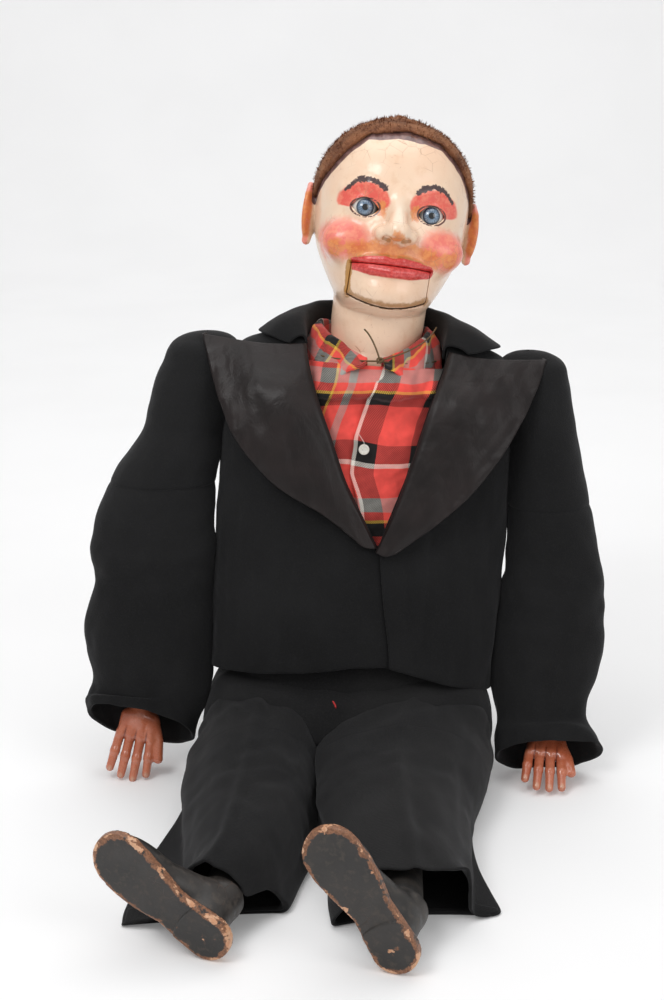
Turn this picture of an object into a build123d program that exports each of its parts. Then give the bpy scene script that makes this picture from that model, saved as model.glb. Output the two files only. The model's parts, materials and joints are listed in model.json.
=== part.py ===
from build123d import *
import os
from math import cos, sin, radians

# A ventriloquist's figure sitting on the floor: hollow head and neck on a control stick, hollow torso with
# a hand hole in its back, jointed arms and legs, and its clothes.  The frame is +Z up, the figure faces -Y,
# its left hand is at +X, and the origin is the middle of the flat seat it rests on.

# ---------------------------------------------------------------- driving dimensions, in millimetres
TORSO_LEAN, TORSO_TILT = 10, 4         # backwards, and towards the figure's own left, in degrees
TORSO_FOOT = (0, -61, 62)              # foot of the torso's axis
NECK_PIVOT_H = 372                     # centre of the neck ball along the torso's axis
HEAD_LEAN, HEAD_TILT, HEAD_TURN = 14.5, 7.3, 2.3
HIP_X, HIP_Y, HIP_Z = 56, -89, 60      # thighs on the hip axle
WALL, HEAD_WALL, CLOTH = 4, 5, 3       # thickness of the torso, the head and each cloth piece
SLIDE_GAP, RUNNING = 0.3, 0.06         # air between sliding pieces, and round a pin in its bore

SHOULDER_X, SHOULDER_H, SHOULDER_BOLT_R = 152, 322, 4
ELBOW = {"right": (-226, -20, 157), "left": (214, -20, 157)}       # in the torso frame
WRIST = {"right": (-218, -18, 1), "left": (215, -12, -1)}
FINGERTIPS = {"right": (-236, -110, 4), "left": (203, -147, 9)}      # in the seat frame
UPPER_ARM_R, FOREARM_R, ELBOW_PIN_R, WRIST_PIN_R = 15, 13, 2.5, 2
PALM_LENGTH, FINGER_R = 44, 4.6
CUFF_BEYOND = {"right": 24, "left": 36}                            # sleeve past the wrist

THIGH_LENGTH, THIGH_R, KNEE_R, SHIN_R = 182, 28, 24, 20
KNEE_PIN_R, HIP_AXLE_R = 3, 4
SHOE_LENGTH, SHOE_TOE_R, SHOE_HEEL_R = 150, 27, 22
SHOE_ANKLE = (32, 0, 54)
HEELS = {"right": (-112, -487, 0), "left": (48, -508, 0)}
TOE_WAYS = {"right": (-77, 22, 60), "left": (-55, 11, 84)}
ANKLE_WAYS = {"right": (33, 93, 10), "left": (28, 95, 10)}     # from the sole up the ankle

JAW_HALF_WIDTH, MOUTH_H, CHIN_H, CHIN_BACK = 40, 98, 58, -62
JAW_AXLE_Y, JAW_AXLE_Z, JAW_AXLE_R = 5, 120, 2.5
EYE_X, EYE_Y, EYE_Z, EYE_R, EYE_PIN_R = 34, -68, 153.5, 14, 1.5
EYE_TAIL, TIE_POST_R = 26, 1.5
STICK_R, STICK_Y, STICK_FOOT = 9, 2, -122
TRIGGER_Z, EYE_LEVER_Z, LEVER_PIN_R = -98, -79, 2

SIDES = {"right": -1, "left": 1}
FAR = 1000                             # further than anything reaches


# ---------------------------------------------------------------- helpers
def box(x, y, z):
    """A block given by its limits along each axis."""
    return Pos(x[0], y[0], z[0]) * Box(x[1] - x[0], y[1] - y[0], z[1] - z[0], align=(Align.MIN,) * 3)


def mirror_box(side, x, y, z):
    """The same, with x measured outwards from the middle."""
    return box(x if side > 0 else (-x[1], -x[0]), y, z)


def rod_x(radius, start, end, y=0, z=0):
    upright = Cylinder(radius, end - start, align=(Align.CENTER, Align.CENTER, Align.MIN))
    return Pos(start, y, z) * Rot(0, 90, 0) * upright


def rod_z(radius, start, end, x=0, y=0):
    return Pos(x, y, start) * Cylinder(radius, end - start, align=(Align.CENTER, Align.CENTER, Align.MIN))


def oval_loft(sections):
    """A smooth solid through ovals, each (z, centre x, centre y, x radius, y radius)."""
    return loft(Sketch() + [Pos(cx, cy, z) * Ellipse(rx, ry) for z, cx, cy, rx, ry in sections])


def grown(sections, by):
    return [(z, cx, cy, rx + by, ry + by) for z, cx, cy, rx, ry in sections]


def oval_tube(sections, wall):
    """The wall outside the ovals given, open at both ends."""
    first, last = sections[0], sections[-1]
    way = 1 if last[0] > first[0] else -1
    longer = [(first[0] - way, *first[1:]), *sections[1:-1], (last[0] + way, *last[1:])]
    return oval_loft(grown(sections, wall)) - oval_loft(longer)


def wedge(middle, half, reach=300, half_length=130):
    """A prism along X from the X axis outwards, half either side of middle, in degrees from +Y to +Z."""
    angles = [radians(middle + half * t) for t in (-1, -0.5, 0, 0.5, 1)]
    points = [(0, 0)] + [(reach * cos(a), reach * sin(a)) for a in angles]
    return extrude(Plane.YZ * make_face(Polyline(*points, close=True)), half_length, both=True)


def profile_x(points, low, high):
    """A flat piece whose outline is given in Y and Z, between two values of X."""
    face = Plane.YZ * make_face(Polyline(*points, close=True))
    return Pos((low + high) / 2, 0, 0) * extrude(face, (high - low) / 2, both=True)


def profile_y(points, depth):
    """A prism from the XZ plane towards -Y."""
    return extrude(Plane.XZ * make_face(Polyline(*points, close=True)), depth)


def at(frame, local):
    return (frame * Pos(*local)).position


def limb_frame(start, end, hinge):
    """Z runs from start to end, and X is as near to hinge as that allows."""
    along = (Vector(end) - Vector(start)).normalized()
    hinge = Vector(hinge)
    across = (hinge - along * hinge.dot(along)).normalized()
    return Plane(origin=start, x_dir=across, z_dir=along).location


def write(name, shape):
    shape.label = name
    export_step(shape, f"parts/{name}.step")


# ---------------------------------------------------------------- frames
TORSO = Pos(*TORSO_FOOT) * Rot(0, TORSO_TILT, 0) * Rot(-TORSO_LEAN, 0, 0)
TORSO_X, TORSO_Z = Plane(TORSO).x_dir, Plane(TORSO).z_dir
HEAD = Pos(at(TORSO, (0, 0, NECK_PIVOT_H))) * Rot(0, HEAD_TILT, 0) * Rot(-HEAD_LEAN, 0, 0) * Rot(0, 0, HEAD_TURN)


# ---------------------------------------------------------------- torso
TORSO_OVALS = [(58, 0, 0, 98, 48), (150, 0, 0, 102, 54), (260, 0, 0, 114, 60), (335, 0, 0, 110, 50)]
BOARD_LOW, BOARD_HIGH = 335, 347
SEAT_BOARD_LOW = 48
HAND_HOLE_X, HAND_HOLE_H = 45, (80, 225)
BALL_R = 46


def torso_shells():
    shell = oval_tube(grown(TORSO_OVALS, -WALL), WALL)
    shell -= rod_x(SHOULDER_BOLT_R, -150, 150, z=SHOULDER_H)
    front = shell & box((-FAR, FAR), (-FAR, 0), (-FAR, FAR))
    back = shell & box((-FAR, FAR), (0, FAR), (-FAR, FAR))
    return front, back - box((-HAND_HOLE_X, HAND_HOLE_X), (20, 90), HAND_HOLE_H)


def shoulder_board():
    board = extrude(Pos(0, 0, BOARD_LOW) * Ellipse(110, 50), BOARD_HIGH - BOARD_LOW)
    return board - Pos(0, 0, NECK_PIVOT_H) * Sphere(BALL_R + 6.5)


def shoulder_blocks():
    """Blocks under the board's ends that hold the arm bolts."""
    blocks = [mirror_box(s, (82, 100), (-14, 14), (SHOULDER_H - 13, BOARD_LOW)) for s in SIDES.values()]
    return Compound([block - rod_x(SHOULDER_BOLT_R, -150, 150, z=SHOULDER_H) for block in blocks])


def shoulder_bolts():
    """Bolts through the arms' upper ends, each with a head outside."""
    bolts = []
    for s in SIDES.values():
        start, end = sorted((s * 78, s * (SHOULDER_X + 22)))
        bolts.append(rod_x(SHOULDER_BOLT_R, start, end, z=SHOULDER_H))
    return Compound(bolts)


def neck_socket():
    """Ring under the board that carries the neck's ball."""
    ring = rod_z(58, BOARD_LOW - 20, BOARD_LOW) - Pos(0, 0, NECK_PIVOT_H) * Sphere(BALL_R + 5.5)
    return (ring - rod_z(33, 250, 400)) & oval_loft(grown(TORSO_OVALS, -WALL - 0.1))


def neck_washer():
    """Felt ring between the ball and the board's hole."""
    washer = Sphere(BALL_R + 5.1) - Sphere(BALL_R + SLIDE_GAP)
    return washer & (rod_z(60, -35, -25.5) - rod_z(35.5, -60, 0))


def seat_board():
    return extrude(Pos(0, 0, TORSO_OVALS[0][0]) * Ellipse(98, 48), SEAT_BOARD_LOW - TORSO_OVALS[0][0])


def hip_blocks():
    """A middle block and two cheeks, from the seat board down to the hip axle."""
    above = TORSO * box((-FAR, FAR), (-FAR, FAR), (SEAT_BOARD_LOW, FAR))
    blocks = []
    for low, high in ((-9, 9), (88, 96), (-96, -88)):
        block = box((low, high), (HIP_Y - 10, HIP_Y + 46), (HIP_Z - 12, 150))
        blocks.append(block - rod_x(HIP_AXLE_R, -120, 120, HIP_Y, HIP_Z) - above)
    return Compound(blocks)


def hip_axle():
    return rod_x(HIP_AXLE_R, -98, 98, HIP_Y, HIP_Z)


def hand_hole_frame():
    """Wood frame round the hand hole, on the inside of the back shell."""
    low, high = HAND_HOLE_H
    inner = oval_loft(grown(TORSO_OVALS, -WALL - 0.1)) - oval_loft(grown(TORSO_OVALS, -WALL - 6))
    around = box((-HAND_HOLE_X - 12, HAND_HOLE_X + 12), (20, 90), (low - 10, high + 12))
    return (inner & around) - box((-HAND_HOLE_X, HAND_HOLE_X), (10, 100), (low, high))


# ---------------------------------------------------------------- clothes on the torso
JACKET_OVALS = [(54, 0, 0, 146, 80), (120, 0, 0, 142, 80), (240, 0, 0, 137, 76), (340, 0, 0, 128, 68), (386, 0, 8, 86, 64)]
ARMHOLE_H, ARMHOLE_X = 228, 122
OPENING_FOOT, OPENING_TOP = (12, 178), (62, 372)
VENT_X, VENT_H = 50, 236


def jacket_panels():
    """Right front, left front and back; the back has a vent over the hand hole."""
    jacket = oval_tube(JACKET_OVALS, CLOTH)
    for s in SIDES.values():
        jacket -= mirror_box(s, (ARMHOLE_X, FAR), (-FAR, FAR), (ARMHOLE_H, FAR))
    foot, (top_x, top_h) = OPENING_FOOT, OPENING_TOP
    jacket -= profile_y([foot, (top_x, top_h), (top_x, 420), (-top_x, 420), (-top_x, top_h)], 200)
    right = jacket & box((-FAR, foot[0] - 0.2), (-FAR, 0), (0, FAR))
    left = jacket & box((foot[0] + 0.2, FAR), (-FAR, 0), (0, FAR))
    back = jacket & box((-FAR, FAR), (0.2, FAR), (0, FAR))
    return right, left, back - box((-VENT_X, VENT_X), (20, 200), (0, VENT_H))


def jacket_collar():
    """Stand and fall behind the neck, resting on the back's top edge."""
    collar = oval_tube([(387, 0, 8, 84, 70), (411, 0, 12, 84, 73)], 6)
    return collar & box((-FAR, FAR), (4, FAR), (0, FAR))


def lapels():
    """Satin facings on the fronts, each rising from the closing point to a peak at the shoulder."""
    outside = oval_tube(grown(JACKET_OVALS, CLOTH + SLIDE_GAP), CLOTH)
    facings = []
    for s in SIDES.values():
        start = OPENING_FOOT[0] + s * 1.5
        outline = [(start, 180), (s * 60, 366), (s * 116, 348), (s * 104, 280), (s * 66, 225), (start + s * 20, 185)]
        facings.append(outside & profile_y(outline, 200))
    return facings


def shirt_front():
    """The front that the jacket leaves open, with a margin under the jacket's edges."""
    shirt = oval_tube(grown(TORSO_OVALS, 0.5), CLOTH)
    return shirt & box((-88, 88), (-FAR, -16), (140, 334))


def shirt_collar():
    collar = oval_tube([(358, 0, 0, 64, 61), (385, 0, 2, 63, 62)], CLOTH)
    return collar - box((-2, 2), (-FAR, 0), (0, FAR))


def collar_string():
    """A string tied round the collar."""
    return Pos(0, 1.3, 379) * Torus(67.6, 1.2)


def shirt_button():
    button = Cylinder(5.4, 2.2)
    for x in (-1.3, 1.3):
        for y in (-1.3, 1.3):
            button -= Pos(x, y, 0) * Cylinder(0.6, 6)
    return Pos(0, -65.5, 287) * Rot(90, 0, 0) * button


SEAT_BACK, SEAT_HALF_WIDTH, SEAT_HEIGHT = 39, 122, 92
LEG_SECTOR = (212, 98)                 # middle and half angle of what the thighs need, round the hip axle


def trousers_seat():
    """Padded seat of the trousers, flat below, and their waist round the foot of the torso."""
    depth = SEAT_BACK - HIP_Y
    seat = extrude(Pos(0, SEAT_BACK - depth / 2, 0) * RectangleRounded(2 * SEAT_HALF_WIDTH, depth, 50), SEAT_HEIGHT)
    seat = fillet(seat.faces().sort_by(Axis.Z)[-1].edges(), 18)
    hip = Pos(0, HIP_Y, HIP_Z)
    seat -= hip * wedge(*LEG_SECTOR, reach=400, half_length=300)
    seat -= hip * rod_x(THIGH_R + 3, -300, 300)
    waist = TORSO * oval_tube([(30, 0, 0, 102, 52), (72, 0, 0, 103, 54)], CLOTH)
    seat += waist & box((-FAR, FAR), (HIP_Y + 34, FAR), (SEAT_HEIGHT - 8, FAR))
    for low, high in ((-9.5, 9.5), (87.5, 96.5), (-96.5, -87.5)):
        seat -= box((low, high), (HIP_Y - 20, HIP_Y + 46.5), (HIP_Z - 13, 200))
    return seat - TORSO * oval_loft([(SEAT_BOARD_LOW - 0.5, 0, 0, 101, 51), (150, 0, 0, 103, 55)])


# ---------------------------------------------------------------- head
HEAD_OVALS = [(58, 0, -38, 42, 46), (74, 0, -24, 58, 65), (102, 0, -13, 69, 82), (142, 0, -4, 76, 91),
              (182, 0, 0, 80, 94), (220, 0, 2, 72, 86), (246, 0, 4, 50, 61), (259, 0, 5, 20, 25)]
NECK_R = 45.5


def inside(ovals, by):
    """The same ovals, moved in by a wall."""
    first, last = ovals[0], ovals[-1]
    ends = [(o[0] + way * by, o[1], o[2], o[3] - by, o[4] - by) for o, way in ((first, 1), (last, -1))]
    return [ends[0], *grown(ovals[1:-1], -by), ends[1]]


def jaw_window(half_width, back, top):
    return box((-half_width, half_width), (-FAR, back), (CHIN_H - 20, top))


def head_shell():
    """Head, neck and ball moulded as one shell, open at the jaw, the eyes and the foot of the neck."""
    solid = oval_loft(HEAD_OVALS) + rod_z(NECK_R, 0, 96, y=1) + Sphere(BALL_R)
    for s in SIDES.values():
        solid += Pos(s * 79, 6, 142) * Rot(0, 0, s * 18) * scale(Sphere(1), (8, 17, 29))
    hollow = oval_loft(inside(HEAD_OVALS, HEAD_WALL)) + rod_z(NECK_R - HEAD_WALL, 0, 98, y=1)
    hollow += Sphere(BALL_R - HEAD_WALL)
    hollow += rod_z(27, -60, 0)
    shell = solid - hollow - jaw_window(JAW_HALF_WIDTH + 1, CHIN_BACK + 14, MOUTH_H)
    for s in SIDES.values():
        eye = Pos(s * EYE_X, EYE_Y, EYE_Z)
        shell -= eye * Sphere(EYE_R + 0.8)
        shell -= eye * Rot(90, 0, 0) * Cylinder(11, 80, align=(Align.CENTER, Align.CENTER, Align.MIN))
    return shell


def jaw_shell():
    """Lower lip and chin, which drop as one piece."""
    wall = oval_loft(HEAD_OVALS) - oval_loft(inside(HEAD_OVALS, HEAD_WALL))
    return wall & jaw_window(JAW_HALF_WIDTH, CHIN_BACK, MOUTH_H - 0.8)


def jaw_block():
    """Two arms from the chin back to the axle, a bar between them, and a short tail."""
    y, z = JAW_AXLE_Y, JAW_AXLE_Z
    outline = [(y + 8, z + 5), (y + 22, z + 4), (y + 22, z - 3), (y + 8, z - 6), (-62, 80), (-99, 74), (-99, 88), (-62, 90)]
    block = profile_x(outline, -34, -26)
    block += profile_x(outline, 26, 34)
    block += box((-34, 34), (-60, -52), (80, 88))
    block &= oval_loft(inside(HEAD_OVALS, HEAD_WALL + 0.1))
    return block - rod_x(JAW_AXLE_R + RUNNING, -60, 60, y, z)


def mechanism_frame():
    """Frame on top of the stick: floor plate, two cheeks for the jaw's axle, and a shelf with the eyes' pins."""
    y, z = JAW_AXLE_Y, JAW_AXLE_Z
    plate = box((-58, 58), (-34, 62), (90, 96))
    for low, high in ((24.5, 35.5), (-35.5, -24.5)):
        plate -= box((low, high), (-40, 36), (80, 100))
    frame = plate
    for low, high in ((-46, -39), (39, 46)):
        frame += box((low, high), (y - 18, y + 14), (96, 138))
    frame += box((-46, 46), (-76, y + 14), (135, 139))
    frame &= oval_loft(inside(HEAD_OVALS, HEAD_WALL + 0.1))
    frame -= rod_x(JAW_AXLE_R, -60, 60, y, z)
    frame -= rod_z(STICK_R, 80, 120, y=STICK_Y)
    for s in SIDES.values():
        frame += rod_z(EYE_PIN_R, 135, EYE_Z + EYE_R + 4, x=s * EYE_X, y=EYE_Y)
    return frame


def jaw_axle():
    return rod_x(JAW_AXLE_R, -46, 46, JAW_AXLE_Y, JAW_AXLE_Z)


def jaw_spring():
    """Leaf under the shelf, above the jaw's tail."""
    back = JAW_AXLE_Y + 14
    leaf = box((26, 34), (back - 3, back), (130.5, 135)) + box((26, 34), (back - 3, back + 12), (129.7, 130.5))
    return leaf


def eyeball(side):
    """Glass ball on its upright pin, with a tail and a post for the tie bar."""
    x, tail_y = SIDES[side] * EYE_X, EYE_Y + EYE_TAIL
    ball = Pos(x, EYE_Y, EYE_Z) * Sphere(EYE_R)
    ball += box((x - 2.5, x + 2.5), (EYE_Y + 8, tail_y + 3), (EYE_Z - 2, EYE_Z + 2))
    ball += rod_z(TIE_POST_R, EYE_Z + 1, EYE_Z + 8, x=x, y=tail_y)
    return ball - rod_z(EYE_PIN_R + RUNNING, 100, 240, x=x, y=EYE_Y)


def eye_tie_bar():
    """Bar between the two posts; its right hole is loose."""
    y, z = EYE_Y + EYE_TAIL, EYE_Z + 2.5
    bar = box((-EYE_X - 5, EYE_X + 5), (y - 3.5, y + 3.5), (z, z + 3))
    bar -= rod_z(TIE_POST_R + RUNNING, 100, 240, x=EYE_X, y=y)
    return bar - rod_z(TIE_POST_R + 0.7, 100, 240, x=-EYE_X, y=y)


def head_stick():
    """Grip of the head, with the two levers' pins standing out of its sides."""
    stick = rod_z(STICK_R, STICK_FOOT, 96, y=STICK_Y)
    stick += rod_x(LEVER_PIN_R, 0, 17, STICK_Y, TRIGGER_Z)
    return stick + rod_x(LEVER_PIN_R, -17, 0, STICK_Y, EYE_LEVER_Z)


def stick_lever(x, z, length):
    """Finger lever beside the stick, pointing back to the hand."""
    y = STICK_Y
    outline = [(y - 12, z - 4), (y - 12, z + 4), (y, z + 6), (y + length, z + 4), (y + length + 4, z + 7),
               (y + length + 4, z - 5), (y, z - 6)]
    return profile_x(outline, x - 2.5, x + 2.5) - rod_x(LEVER_PIN_R + RUNNING, -40, 40, y, z)


def hair_cap():
    """Cropped cap over the crown and the back, down to the ears and the nape."""
    over = grown(HEAD_OVALS[2:-1], 4) + [(HEAD_OVALS[-1][0] + 4, *HEAD_OVALS[-1][1:])]
    cap = oval_loft(over) - oval_loft(grown(HEAD_OVALS[:-1], 0.1) + [(HEAD_OVALS[-1][0] + 0.1, *HEAD_OVALS[-1][1:])])
    edge = [(-92, 232), (-60, 204), (-14, 178), (12, 184), (40, 124), (120, 104), (120, 320), (-92, 320)]
    return cap & profile_x(edge, -200, 200)


# ---------------------------------------------------------------- arms
ELBOW_BEND, ELBOW_BACK = 42, 4         # half angles of the openings that the bend needs, front and back
HAND_SECTOR = (42, 38)                 # what the left hand, bent forwards at the wrist, needs of its cuff


def arm(side):
    """Upper arm, forearm, elbow and wrist pins, and both halves of the sleeve."""
    s = SIDES[side]
    shoulder, elbow, wrist = at(TORSO, (s * SHOULDER_X, 0, SHOULDER_H)), at(TORSO, ELBOW[side]), at(TORSO, WRIST[side])
    upper, fore = limb_frame(shoulder, elbow, TORSO_X), limb_frame(elbow, wrist, TORSO_X)
    upper_length, fore_length = (elbow - shoulder).length, (wrist - elbow).length
    joint = Plane(origin=elbow, x_dir=TORSO_X, z_dir=-TORSO_Z).location      # +Z down, +Y to the front
    bolt = Plane(origin=shoulder, x_dir=TORSO_X, z_dir=-TORSO_Z).location

    upper_arm = upper * rod_z(UPPER_ARM_R, 0, upper_length) + bolt * rod_x(UPPER_ARM_R, -15, 15)
    upper_arm += joint * rod_x(UPPER_ARM_R - 1, -13, 13)
    upper_arm -= joint * (box((-4.6, 4.6), (-40, 40), (-20, 60)) + rod_x(ELBOW_PIN_R, -60, 60))
    upper_arm -= joint * wedge(90, 60, half_length=60) & joint * box((-60, 60), (-60, 60), (0, 60))
    upper_arm += joint * (rod_x(UPPER_ARM_R - 1, -13, 13) - box((-4.6, 4.6), (-40, 40), (-20, 60)) - rod_x(ELBOW_PIN_R, -60, 60))
    upper_arm -= bolt * rod_x(SHOULDER_BOLT_R + RUNNING, -60, 60)

    forearm = fore * rod_z(FOREARM_R, 22, fore_length - 12)
    forearm += joint * (rod_x(13, -4.3, 4.3) + box((-4.3, 4.3), (-8, 8), (0, 28)))
    forearm -= joint * rod_x(ELBOW_PIN_R + RUNNING, -60, 60)
    forearm += fore * (rod_x(8, -4, 4, z=fore_length) + box((-4, 4), (-7, 7), (fore_length - 14, fore_length)))
    forearm -= fore * rod_x(WRIST_PIN_R + RUNNING, -40, 40, z=fore_length)

    bend = joint * (wedge(0, ELBOW_BEND) + wedge(180, ELBOW_BACK))
    distal = joint * box((-150, 150), (-150, 150), (0, 400))
    proximal = joint * box((-150, 150), (-150, 150), (-400, 0))
    sleeve = upper * oval_tube([(-34, 0, 0, 20, 18), (-12, 0, 0, 31, 29), (80, 0, 0, 36, 34), (upper_length + 40, 0, 0, 44, 36)], CLOTH)
    sleeve -= TORSO * mirror_box(s, (-FAR, ARMHOLE_X + 3), (-FAR, FAR), (-FAR, FAR))
    cuff = (fore_length + CUFF_BEYOND[side], 0, 0, 52, 29)
    lower = fore * oval_tube([(-40, 0, 0, 44, 36), (60, 0, 0, 46, 33), cuff], CLOTH)
    if side == "left":
        lower -= fore * Pos(0, 0, fore_length) * wedge(*HAND_SECTOR, half_length=60)
    return {"upper_arm": upper_arm, "forearm": forearm, "elbow_pin": joint * rod_x(ELBOW_PIN_R, -13, 13),
            "upper_sleeve": sleeve - bend - distal, "lower_sleeve": lower - bend - proximal,
            "hand": hand(side, fore * Pos(0, 0, fore_length), wrist)}


def hand(side, forearm_end, wrist):
    """Fork on the wrist pin, palm, four fingers, and a thumb towards the body."""
    s = SIDES[side]
    hinge = Plane(forearm_end).x_dir
    way = Vector(FINGERTIPS[side]) - wrist
    level = Plane(origin=wrist, x_dir=hinge, z_dir=(way - hinge * way.dot(hinge)).normalized()).location
    frame = limb_frame(wrist, FINGERTIPS[side], hinge)
    palm = frame * loft(Sketch() + [Pos(0, 0, 13) * RectangleRounded(24, 15, 6), Pos(0, 0, 28) * RectangleRounded(40, 18, 7),
                                    Pos(0, 0, PALM_LENGTH + 4) * RectangleRounded(43, 13, 6)])
    solid = level * (rod_x(7.5, -9, 9) + box((-9, 9), (-7, 7), (0, 20)) - box((-4.3, 4.3), (-20, 20), (-20, 9.5)))
    solid += palm
    for i, length in enumerate((32, 38, 40, 35)):
        finger = rod_z(FINGER_R, 0, length) + Pos(0, 0, length) * Sphere(FINGER_R)
        solid += frame * Pos(s * (16 - 10.6 * i), 0, PALM_LENGTH) * Rot(0, s * (5 - 3.4 * i), 0) * finger
    thumb = rod_z(5.4, 0, 38) + Pos(0, 0, 38) * Sphere(5.4)
    solid += frame * Pos(-s * 15, -2, 24) * Rot(0, -s * 24, 0) * thumb
    solid -= forearm_end * box((-4.3, 4.3), (-9.5, 9.5), (-20, 0))
    return solid + forearm_end * rod_x(WRIST_PIN_R, -9, 9)


# ---------------------------------------------------------------- legs
KNEE_BEND, KNEE_FRONT = 45, 2
HIP_CLEAR = 52                         # distance from the hip axle to the thigh's cloth


def shoe_outline(margin=0):
    heel = Pos(SHOE_HEEL_R, 0) * Circle(SHOE_HEEL_R - margin)
    toe = Pos(SHOE_LENGTH - SHOE_TOE_R, 0) * Circle(SHOE_TOE_R - margin)
    return make_hull(heel.edges() + toe.edges())


def shoe_shape():
    """Shoe with its sole on z = 0, its heel at x = 0 and its toe along +X; the instep tapers to the ankle."""
    solid = extrude(shoe_outline(), 9) - box((50, 56), (-60, 60), (-1, 4))
    solid += loft(Sketch() + [Pos(0, 0, 9) * shoe_outline(2), Pos(0, 0, 24) * shoe_outline(8)])
    solid += loft(Sketch() + [Pos(38, 0, 23) * Ellipse(34, 17), Pos(SHOE_ANKLE[0], 0, SHOE_ANKLE[2]) * Ellipse(24, 20)])
    solid += Pos(112, 0, 20) * scale(Sphere(1), (26, 20, 12))
    return solid


def shoe_frame(side):
    """Toe up and to one side, sole to the front and turned out, the lowest point of the heel on the floor."""
    toe = Vector(TOE_WAYS[side]).normalized()
    back = Vector(ANKLE_WAYS[side]).normalized()
    inward = (back - toe * back.dot(toe)).normalized()
    frame = Plane(origin=HEELS[side], x_dir=toe, z_dir=inward).location
    return Pos(0, 0, -(frame * shoe_shape()).bounding_box().min.Z) * frame


def leg(side):
    """Thigh, lower leg, shoe, knee pin and both halves of the trouser leg."""
    s = SIDES[side]
    hip = Vector(s * HIP_X, HIP_Y, HIP_Z)
    shoe_at = shoe_frame(side)
    ankle = at(shoe_at, SHOE_ANKLE)
    length = (ankle - hip).length
    along = limb_frame(hip, ankle, (1, 0, 0))
    knee = along * Pos(0, 0, THIGH_LENGTH)
    hub = Pos(hip)

    thigh = along * loft(Sketch() + [Pos(0, 0, 8) * Circle(THIGH_R - 2), Pos(0, 0, THIGH_LENGTH - 10) * Circle(KNEE_R)])
    thigh += hub * rod_x(THIGH_R, -27, 27)
    thigh += knee * rod_x(KNEE_R, -19, 19)
    thigh -= knee * (box((-7.4, 7.4), (-60, 60), (-28, 60)) + rod_x(KNEE_PIN_R, -60, 60))
    thigh -= hub * rod_x(HIP_AXLE_R + RUNNING, -120, 120)

    shin_end = length - THIGH_LENGTH
    lower_leg = knee * rod_z(SHIN_R - 2, 28, shin_end) + knee * rod_x(KNEE_R - 2, -7, 7)
    lower_leg += knee * box((-7, 7), (-13, 13), (0, 40))
    lower_leg -= knee * rod_x(KNEE_PIN_R + RUNNING, -60, 60)
    shoe = shoe_at * shoe_shape()
    lower_leg -= shoe

    bend = knee * (wedge(180, KNEE_BEND) + wedge(0, KNEE_FRONT))
    distal = knee * box((-150, 150), (-150, 150), (0, 400))
    proximal = knee * box((-150, 150), (-150, 150), (-400, 0))
    upper = along * oval_tube([(HIP_CLEAR, 0, 0, 49, 43), (THIGH_LENGTH, 0, 0, 52, 38), (THIGH_LENGTH + 40, 0, 0, 52, 36)], CLOTH)
    hem = (shin_end - 16, 0, 0, 68, 34)
    lower = knee * oval_tube([(-40, 0, 0, 52, 38), (50, 0, 0, 55, 33), hem], CLOTH)
    return {"thigh": thigh, "lower_leg": lower_leg, "knee_pin": knee * rod_x(KNEE_PIN_R, -19, 19), "shoe": shoe,
            "thigh_cloth": upper - bend - distal, "shin_cloth": lower - bend - proximal - shoe}


# ---------------------------------------------------------------- all the pieces
def torso_pieces():
    front, back = torso_shells()
    right_front, left_front, jacket_back = jacket_panels()
    right_lapel, left_lapel = lapels()
    return {"torso_front_shell": front, "torso_back_shell": back, "shoulder_board": shoulder_board(),
            "shoulder_blocks": shoulder_blocks(), "shoulder_bolts": shoulder_bolts(), "neck_socket": neck_socket(),
            "neck_washer": Pos(0, 0, NECK_PIVOT_H) * neck_washer(), "seat_board": seat_board(),
            "hand_hole_frame": hand_hole_frame(), "jacket_front_right": right_front, "jacket_front_left": left_front,
            "jacket_back": jacket_back, "jacket_collar": jacket_collar(), "lapel_right": right_lapel,
            "lapel_left": left_lapel, "shirt_front": shirt_front(), "shirt_collar": shirt_collar(),
            "collar_string": collar_string(), "shirt_button": shirt_button()}


def head_pieces():
    return {"head_shell": head_shell(), "hair_cap": hair_cap(), "jaw_shell": jaw_shell(), "jaw_block": jaw_block(),
            "mechanism_frame": mechanism_frame(), "jaw_axle": jaw_axle(), "jaw_spring": jaw_spring(),
            "eye_right": eyeball("right"), "eye_left": eyeball("left"),
            "eye_tie_bar": eye_tie_bar(), "head_stick": head_stick(),
            "jaw_trigger": stick_lever(12.5, TRIGGER_Z, 24), "eye_lever": stick_lever(-12.5, EYE_LEVER_Z, 18)}


def main():
    os.makedirs("parts", exist_ok=True)
    for name, shape in torso_pieces().items():
        write(name, TORSO * shape)
    for name, shape in {"hip_blocks": hip_blocks(), "hip_axle": hip_axle(), "trousers_seat": trousers_seat()}.items():
        write(name, shape)
    for name, shape in head_pieces().items():
        write(name, HEAD * shape)
    for side in SIDES:
        for name, shape in {**arm(side), **leg(side)}.items():
            write(f"{name}_{side}", shape)


main()
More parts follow.
